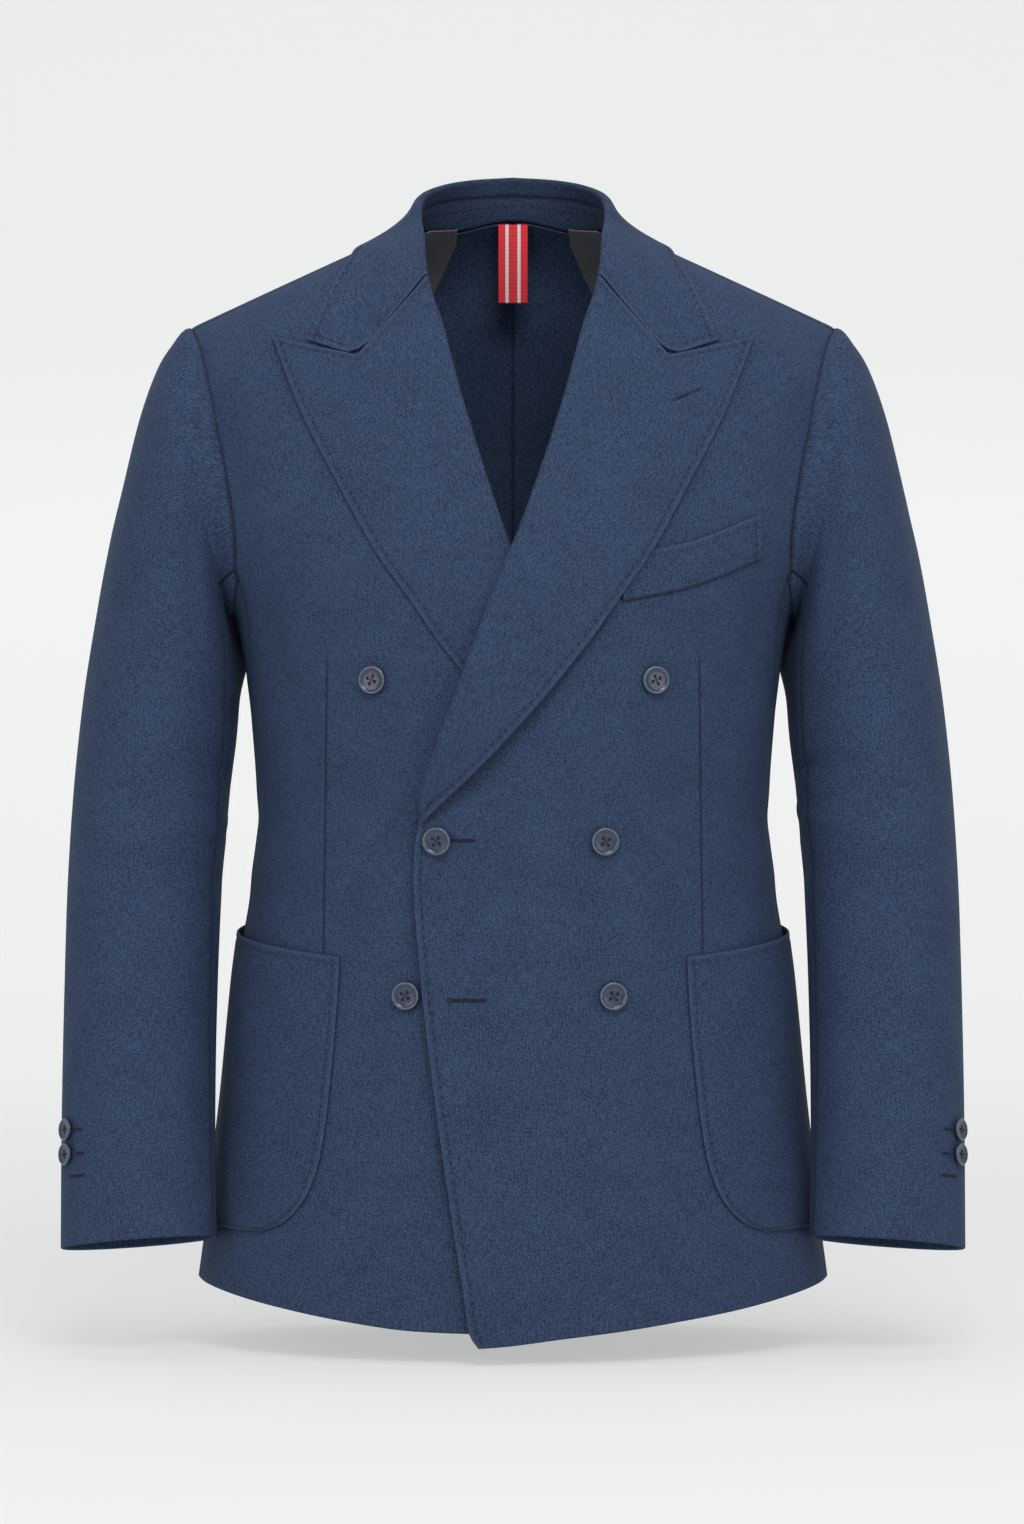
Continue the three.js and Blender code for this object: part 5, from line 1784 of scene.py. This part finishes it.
@dataclass(frozen=True)
class Laid:
    """Breast welt and patch pockets, laid on the fronts."""

    welt_height: float = 29.5
    pocket_rise: float = 18.0
    gape: float = 3.0

    def welt(self) -> Patch:
        """Cuts the breast welt."""
        k, f = np.linspace(0, 1, 9)[:, None], np.linspace(0, 1, 30)[None, :]
        x = lerp(WELT.places[0], WELT.places[-1], f)
        z = WELT.at("z", x) - self.welt_height * k
        points = FORM.front_at(x + 0 * k, z, front_out(1, x, z) + PLY_GAP + WALL / 2)
        return Patch(points, rims(Edge.FOLDED, Edge.SEAM, Edge.FOLDED, Edge.FOLDED))

    def pocket(self, side: int) -> Patch:
        """Cuts a patch pocket, its mouth standing a little open."""
        mouth, foot = POCKET.places[0], POCKET.places[-1]
        k, f = np.linspace(0, 1, 70)[:, None], np.linspace(0, 1, 60)[None, :]
        level = lerp(mouth, foot, k)
        t0 = FORM.turn_at(POCKET.at("x", level), level)
        t = lerp(t0, np.radians(POCKET.at("turn", level)), f)
        z = level + self.pocket_rise * f * (1 - k)
        x = BODY.at("half", z) * np.sin(t)
        gape = self.gape * (1 - k) ** 5 * np.sin(math.pi * f)
        under = LAP.lift(side, x, z) + BODY_FOLDS.lift(side, np.degrees(t), z)
        points = FORM.at(t, x, z, under + PLY_GAP + WALL / 2 + gape)
        return Patch(points, rims(Edge.FOLDED, Edge.FOLDED, Edge.FOLDED, Edge.FOLDED))


@dataclass(frozen=True)
class Inside:
    """What shows inside the neck: the shoulder linings and the ribbon tab."""

    lining_up: float = 5.0
    tab_width: float = 20.0
    tab_top: float = 24.0
    tab_bottom: float = -30.0
    tab_stand: float = 3.5
    tab_curl: float = 2.0
    tab_cup: float = 0.4
    ripple: float = 0.35
    ripple_length: float = 7.5

    def shoulder_lining(self) -> Patch:
        """Cuts the lining at the inside of a back shoulder."""
        last = SHOULDER_LINING.places[-1]
        i, k = last * np.linspace(0, 1, 60)[:, None], np.linspace(0, 1, 30)[None, :]
        x = lerp(SHOULDER_LINING.at("top_x", i), SHOULDER_LINING.at("low_x", i), k)
        top = SHOULDER_LINING.at("top_drop", i) - self.lining_up * (1 - smoothstep(i, 1, 2))
        drop = lerp(top, SHOULDER_LINING.at("low_drop", i), k)
        ripple = self.ripple * np.sin(x / self.ripple_length) * np.sin(math.pi * k)
        out = -(WALL + LINING_GAP + LINING_WALL / 2) - ripple
        return Patch(FORM.back_at(x, FORM.ridge(x) - drop, out),
                     rims(Edge.SEAM, Edge.PLAIN, Edge.PLAIN, Edge.SEAM), thick=LINING_WALL, axis=BEHIND)

    def neck_tab(self) -> Patch:
        """Cuts the ribbon tab that hangs from the neck seam."""
        y = float(Collar().neck_seam(np.array([6.0]))[0, 1]) - self.tab_stand
        k, f = np.linspace(0, 1, 14)[:, None], np.linspace(-0.5, 0.5, 7)[None, :]
        bow = self.tab_curl * k * k + self.tab_cup * np.cos(f * math.pi) * k
        points = point3(f * self.tab_width, y + bow, lerp(self.tab_top, self.tab_bottom, k))
        edges = rims(Edge.ROLLED, Edge.ROLLED, Edge.ROLLED, Edge.ROLLED)
        return Patch(points, edges, thick=LINING_WALL, axis=BEHIND)


@dataclass
class Buttons:
    """Dished buttons with four holes, each crossed by its sewing thread."""

    full: float = 19.0
    cuff: float = 15.0
    hole: float = 1.25
    hole_off: float = 1.95
    face: float = 3.62
    sides: int = 72
    seat: float = -0.05
    cuff_seat: float = 0.3
    cuff_turn: float = 30.0
    cuff_rows: Pair = (11.02, 11.23)
    drill: float = 3.8
    hole_floor: float = 1.25
    # Rings of painted highlight on the rim and of painted shade round the dish, each above a height
    rubbed: Crease = Crease(8.5, 0.5, 1.0)
    highlight_above: float = 4.2
    dish_shade: Crease = Crease(6.8, 0.5, 0.6)
    dish_shade_above: float = 3.2
    sharp: float = 38.0
    cross: Pair = (0.28, 0.5)
    cross_thread: float = 0.26
    profile: tuple[tuple[float, float], ...] = (
        (0, 0), (2.4, 0), (2.2, 1.2), (6.4, 1.35), (8.6, 1.8), (9.35, 2.5), (9.5, 3.1), (9.3, 3.9),
        (8.8, 4.4), (8.1, 4.5), (7.5, 4.25), (7.1, 3.85), (6.5, 3.68), (4.5, 3.6), (0, 3.58),
    )
    on_fronts: tuple[tuple[str, int, float, float], ...] = (
        ("upper_left", 1, 92, -297), ("upper_right", -1, 92, -297), ("middle_left", 1, 59, -403),
        ("middle_right", 1, -48.6, -402.5), ("lower_left", 1, 65, -505), ("lower_right", -1, 70.3, -505),
    )

    def blank(self) -> Mesh:
        """Turns the button and drills its holes.

        Returns:
            The mesh of a full-size button, its face up.
        """
        body = placed("blank", self.lathe())
        pins = []
        for sx, sy in ((1, 1), (-1, 1), (-1, -1), (1, -1)):
            bpy.ops.mesh.primitive_cylinder_add(
                vertices=24, radius=self.hole * MM, depth=self.drill * MM,
                location=(sx * self.hole_off * MM, sy * self.hole_off * MM, (self.face + 0.1) * MM))
            pins.append(bpy.context.object)
            cut = body.modifiers.new("hole", "BOOLEAN")
            cut.operation = "DIFFERENCE"
            cut.solver = "EXACT"
            cut.object = pins[-1]
        bpy.context.view_layer.update()
        cut_body = body.evaluated_get(bpy.context.evaluated_depsgraph_get())
        drilled = bpy.data.meshes.new_from_object(cut_body)
        for extra in (body, *pins):
            bpy.data.objects.remove(extra, do_unlink=True)
        places = np.array([v.co for v in drilled.vertices]) / MM
        keep(drilled, "weave", places)
        x, y, z = places.T
        radius = np.hypot(x, y)
        off = np.hypot(np.abs(x) - self.hole_off, np.abs(y) - self.hole_off)
        # Painted shade in the holes and in a ring round the dish, and a painted highlight in a ring on
        # the rim
        hole_shade = (off < self.hole + 0.05) & (z < self.face - 0.15) & (z > self.hole_floor)
        keep(drilled, "painted_highlight", self.rubbed.at(radius) * (z > self.highlight_above))
        keep(drilled, "painted_shade", np.maximum(hole_shade, self.dish_shade.at(radius) * (z > self.dish_shade_above)))
        drilled.polygons.foreach_set("use_smooth", [True] * len(drilled.polygons))
        drilled.set_sharp_from_angle(angle=math.radians(self.sharp))
        return drilled

    def lathe(self) -> Mesh:
        """Turns the profile round the button's axis."""
        ring = np.array(self.profile[1:-1], float)
        turns = np.arange(self.sides) * 2 * math.pi / self.sides
        places = [point3(r * np.cos(turns), r * np.sin(turns), h) for r, h in ring]
        middles = [[0, 0, self.profile[0][1]], [0, 0, self.profile[-1][1]]]
        points = np.concatenate([*places, middles])
        n, count = self.sides, len(ring)
        pairs = [(i, (i + 1) % n) for i in range(n)]
        faces = [[k * n + i, k * n + j, (k + 1) * n + j, (k + 1) * n + i]
                 for k in range(count - 1) for i, j in pairs]
        for i, j in pairs:
            faces.append([count * n, j, i])
            faces.append([count * n + 1, (count - 1) * n + i, (count - 1) * n + j])
        return new_mesh("turned", points, faces)

    def places(self, sleeves: Sleeves) -> Iterable[tuple[str, float, Points, Points]]:
        """Finds where all the buttons sit.

        Args:
            sleeves: The sleeves, for the cuff buttons.

        Yields:
            Node, diameter, foot on the cloth and direction of each button.
        """
        for name, side, x, z in self.on_fronts:
            normal = FORM.front_at(x, z, 1.0) - FORM.front_at(x, z, 0.0)
            foot = FORM.front_at(x, z, front_out(side, x, z)) + normal * self.seat
            yield f"button_{name}", self.full, mirrored(foot, side), mirrored(normal, side)
        for label, side in HANDS:
            for k, s in enumerate(self.cuff_rows):
                normal = sleeves.normal(s, self.cuff_turn)
                foot = sleeves.on(side, s, self.cuff_turn, WALL / 2 + self.cuff_seat)
                node = f"cuff_button_{label}_{k + 1}"
                yield node, self.cuff, mirrored(foot, side), mirrored(normal, side)

    def sew(self, finishes: Finishes, sleeves: Sleeves) -> None:
        """Sews all the buttons on.

        Args:
            finishes: The finishes of the garment.
            sleeves: The sleeves, for the cuff buttons.
        """
        blank = self.blank()
        for node, diameter, foot, normal in self.places(sleeves):
            turn = Vector((0, 0, 1)).rotation_difference(Vector(normal)).to_matrix().to_4x4()
            where = Matrix.Translation(Vector(foot * MM)) @ turn @ Matrix.Scale(diameter / self.full, 4)
            mesh = blank.copy()
            mesh.name = node.replace("button_", "horn_")
            mesh.transform(where)
            made = piece(mesh, finishes.button, "button", node)
            cross = Threads(f"{made.name}_thread")
            spot = np.array([[0, 0, self.face + above] for above in self.cross])
            ways = np.array([[1.0, 1.0, 0], [1.0, -1.0, 0]])
            up = np.tile([0.0, 0.0, 1.0], (2, 1))
            cross.add(spot, ways, up, self.hole_off * 2 * math.sqrt(2), self.cross_thread)
            thread = cross.mesh()
            thread.transform(where)
            piece(thread, finishes.cross, "button")
        bpy.data.meshes.remove(blank)


@dataclass
class Tailor:
    """Dresses the cut pieces and joins them to the frame's nodes."""

    finishes: Finishes
    body: BodyPanels = BodyPanels()
    lapels: Lapels = Lapels()
    collar: Collar = Collar()
    sleeves: Sleeves = Sleeves()
    laid: Laid = Laid()
    inside: Inside = Inside()
    stitch_pitch: float = 6.2
    stitch_length: float = 2.7
    stitch_radius: float = 0.42
    stitches_end: float = 14.0
    past_notch: float = 3.0
    narrow: Buttonhole = Buttonhole(half=0.9, eyelet=False)

    def make(self, patch: Patch, name: str, node: str, side: int = 1,
             slot: str = "cloth", threads: Optional[Threads] = None) -> None:
        """Makes one piece of cloth with its stitching.

        Args:
            patch: The cut cloth.
            name: Name of the piece.
            node: The CAD node that it stands for.
            side: -1 to mirror it to the wearer's right.
            slot: Which of the finishes it takes, by name.
            threads: Stitching on it, if any.
        """
        finish = getattr(self.finishes, slot)
        made = piece(patch.mesh(name, side), finish, slot, node)
        if threads is not None and threads.places:
            piece(threads.mesh(side), self.finishes.thread, slot)
        width, length, area = patch.cut()
        log.info("%s: flat %.3f x %.3f m, %.4f m2", name, width, length, area)

    def picked(self, name: str, patch: Patch, sides: Iterable[Side],
               keeps: Callable[[Points], Points] = lambda points: points[:, 0] > -1e9) -> Threads:
        """Lays pick stitches beside some sides of a piece.

        Args:
            name: Name of the piece.
            patch: The cut cloth.
            sides: The sides that are stitched.
            keeps: Tells which points of a line are stitched.

        Returns:
            The stitches.
        """
        threads = Threads(f"{name}_stitches")
        for side in sides:
            points, normals = patch.line(side)
            kept = keeps(points)
            if kept.sum() > 2:
                threads.row(points[kept], normals[kept], self.stitch_pitch, self.stitch_length,
                            self.stitch_radius)
        return threads

    def panels(self, label: str, side: int) -> None:
        """Makes the front, the side panel and the back of one half."""
        front = self.body.front(side)
        name = f"{label}_front"
        threads = Threads(f"{name}_stitches")
        if side > 0:
            top = self.lapels.foot_z - self.stitches_end
            threads = self.picked(name, front, [Side.FIRST_COLUMN], lambda p: p[:, 2] < top)
            for start, end, z in self.body.buttonholes:
                Buttonhole().work(threads, *front.seen_line((start, z), (end, z)))
        self.make(front, name, f"front_{label}", side, threads=threads)
        self.make(self.body.side(side), f"{label}_side", f"side_{label}", side)
        self.make(self.body.back(side), f"{label}_back", f"back_{label}", side)

    def lapel(self, label: str, side: int) -> None:
        """Makes one lapel, the left one with a buttonhole."""
        patch = self.lapels.patch(side)
        name = f"{label}_lapel"
        threads = self.picked(name, patch, [Side.LAST_COLUMN])
        outer = self.lapels.notch[0] + self.past_notch
        threads.join(self.picked(name, patch, [Side.FIRST_ROW], lambda p: p[:, 0] > outer))
        if side > 0:
            self.narrow.work(threads, *patch.seen_line(*self.lapels.buttonhole))
        self.make(patch, name, f"lapel_{label}", side, threads=threads)

    def neck(self) -> None:
        """Makes the collar, its stand and the ribbon tab."""
        patch = self.collar.patch()
        threads = self.picked("collar_fall", patch, [Side.LAST_COLUMN])
        outer = self.collar.lapels.notch[0] + self.past_notch
        threads.join(self.picked("ends", patch, [Side.FIRST_ROW, Side.LAST_ROW],
                                 lambda p: np.abs(p[:, 0]) > outer))
        self.make(patch, "collar_fall", "collar", threads=threads)
        stand = self.collar.stand()
        self.make(stand, "neck_stand", "collar_stand",
                  threads=self.picked("neck_stand", stand, [Side.LAST_COLUMN]))
        self.make(self.inside.neck_tab(), "neck_ribbon", "neck_tab", slot="ribbon")

    def sleeve(self, label: str, side: int) -> None:
        """Makes both pieces of one sleeve, with the cuff's buttonholes."""
        name = f"{label}_top_sleeve"
        threads = Threads(f"{name}_stitches")
        for s, start, end in self.sleeves.buttonholes:
            turns = np.linspace(start, end, 8)
            line = self.sleeves.on(side, s, turns, WALL / 2)
            self.narrow.work(threads, line, self.sleeves.normal(s, turns))
        self.make(self.sleeves.patch(side, True), name, f"top_sleeve_{label}", side,
                  threads=threads)
        self.make(self.sleeves.patch(side, False), f"{label}_under_sleeve", f"under_sleeve_{label}", side)

    def laid_pieces(self, label: str, side: int) -> None:
        """Makes the pocket and the shoulder lining of one half."""
        pocket = self.laid.pocket(side)
        name = f"{label}_pocket"
        threads = self.picked(name, pocket, [Side.FIRST_COLUMN, Side.LAST_ROW, Side.LAST_COLUMN])
        self.make(pocket, name, f"pocket_{label}", side, threads=threads)
        self.make(self.inside.shoulder_lining(), f"{label}_shoulder_inside", f"shoulder_lining_{label}",
                  side, slot="lining")

    def dress(self) -> None:
        """Makes the whole garment."""
        for label, side in HANDS:
            self.panels(label, side)
            self.lapel(label, side)
            self.sleeve(label, side)
            self.laid_pieces(label, side)
        self.neck()
        welt = self.laid.welt()
        self.make(welt, "welt_band", "breast_welt",
                  threads=self.picked("welt_band", welt, [Side.FIRST_COLUMN, Side.LAST_COLUMN]))
        Buttons().sew(self.finishes, self.sleeves)


@dataclass(frozen=True)
class Softbox:
    """A square studio light that faces a point."""

    name: str
    place: Triple
    aim: Triple
    size: Pair
    power: float

    def hang(self) -> None:
        """Adds the light to the scene."""
        light = bpy.data.lights.new(self.name, "AREA")
        light.shape = "RECTANGLE"
        light.size, light.size_y = self.size
        light.energy = self.power
        made = placed(self.name, light)
        made.location = self.place
        way = Vector(self.aim) - Vector(self.place)
        made.rotation_euler = way.to_track_quat("-Z", "Y").to_euler()


@dataclass(frozen=True)
class Studio:
    """Pale backdrop, soft lights and the level camera."""

    floor_z: float = -0.7475
    floor_y: Pair = (-5.6, 4.6)
    half_width: float = 5.6
    bend: float = 0.9
    wall_height: float = 3.2
    camera: Triple = (-0.0007, -3.0, -0.351)
    lens: float = 103.5
    world: float = 0.55
    sky: Triple = (0.97, 0.985, 1.0)
    own_light: float = 0.46
    boxes: tuple[Softbox, ...] = (
        Softbox("key", (0.4, -2.6, 2.0), (0.0, 0.0, -0.4), (1.6, 1.1), 50.0),
        Softbox("left", (-2.0, -2.6, 0.5), (0.0, 0.0, -0.4), (1.2, 1.8), 17.0),
        Softbox("right", (2.0, -2.7, 0.3), (0.0, 0.0, -0.4), (1.2, 1.8), 13.0),
        Softbox("top", (0.0, 0.1, 2.3), (0.0, 0.0, -0.3), (1.8, 1.0), 15.0),
    )

    def white(self) -> Material:
        """Matt white that keeps the backdrop even."""
        s = Surface("backdrop_white")
        place = s.node("ShaderNodeTexCoord", {}, {}, "Object")
        grain = s.noise(place, 3.0, 2.0)
        _, deep, up = s.split(place)
        near = s.blend(grain, (0.378, 0.383, 0.38, 1), (0.393, 0.398, 0.395, 1))
        far = s.blend(deep.step(0.6, 3.4), near, (0.575, 0.581, 0.577, 1))
        return s.feed({
            "Base Color": s.blend(up.step(-0.1, 0.6), far, (0.51, 0.516, 0.512, 1)),
            "Roughness": 0.95 + (grain - 0.5) * 0.04,
            "Specular IOR Level": 0.0,
            "Emission Color": (0.985, 1.0, 0.992, 1),
            "Emission Strength": self.own_light,
        })

    def backdrop(self) -> None:
        """Makes the floor, which sweeps up into the wall behind."""
        near, far = self.floor_y
        turns = np.linspace(0, QUARTER, 16)
        y = np.concatenate([[near], far + self.bend * np.sin(turns), [far + self.bend]])
        z = np.concatenate([[0.0], self.bend * (1 - np.cos(turns)), [self.wall_height]]) + self.floor_z
        ends = (-self.half_width, self.half_width)
        places = np.array([[a, b, c] for b, c in zip(y, z) for a in ends]) / MM
        faces = [[2 * k, 2 * k + 1, 2 * k + 3, 2 * k + 2] for k in range(len(y) - 1)]
        mesh = new_mesh("backdrop", places, faces)
        mesh.materials.append(self.white())
        placed("backdrop", mesh)

    def light(self) -> None:
        """Hangs the lights and sets the surrounding light."""
        world = bpy.data.worlds.new("studio")
        world.use_nodes = True
        background = world.node_tree.nodes["Background"]
        background.inputs["Color"].default_value = (*self.sky, 1.0)
        background.inputs["Strength"].default_value = self.world
        bpy.context.scene.world = world
        for box in self.boxes:
            box.hang()

    def shoot(self) -> None:
        """Sets up the camera."""
        camera = bpy.data.cameras.new("camera")
        camera.lens = self.lens
        camera.sensor_width = 36.0
        camera.clip_end = 20.0
        made = placed("camera", camera)
        made.location = self.camera
        made.rotation_euler = (QUARTER, 0.0, 0.0)
        bpy.context.scene.camera = made

    def set_up(self) -> None:
        """Builds the whole studio."""
        bpy.context.scene.view_settings.view_transform = "Standard"
        self.backdrop()
        self.light()
        self.shoot()


def main() -> None:
    """Builds the blazer and its studio."""
    logging.basicConfig(level=logging.INFO, format="%(message)s")
    Tailor(Finishes()).dress()
    Studio().set_up()


if __name__ == "__main__":
    main()
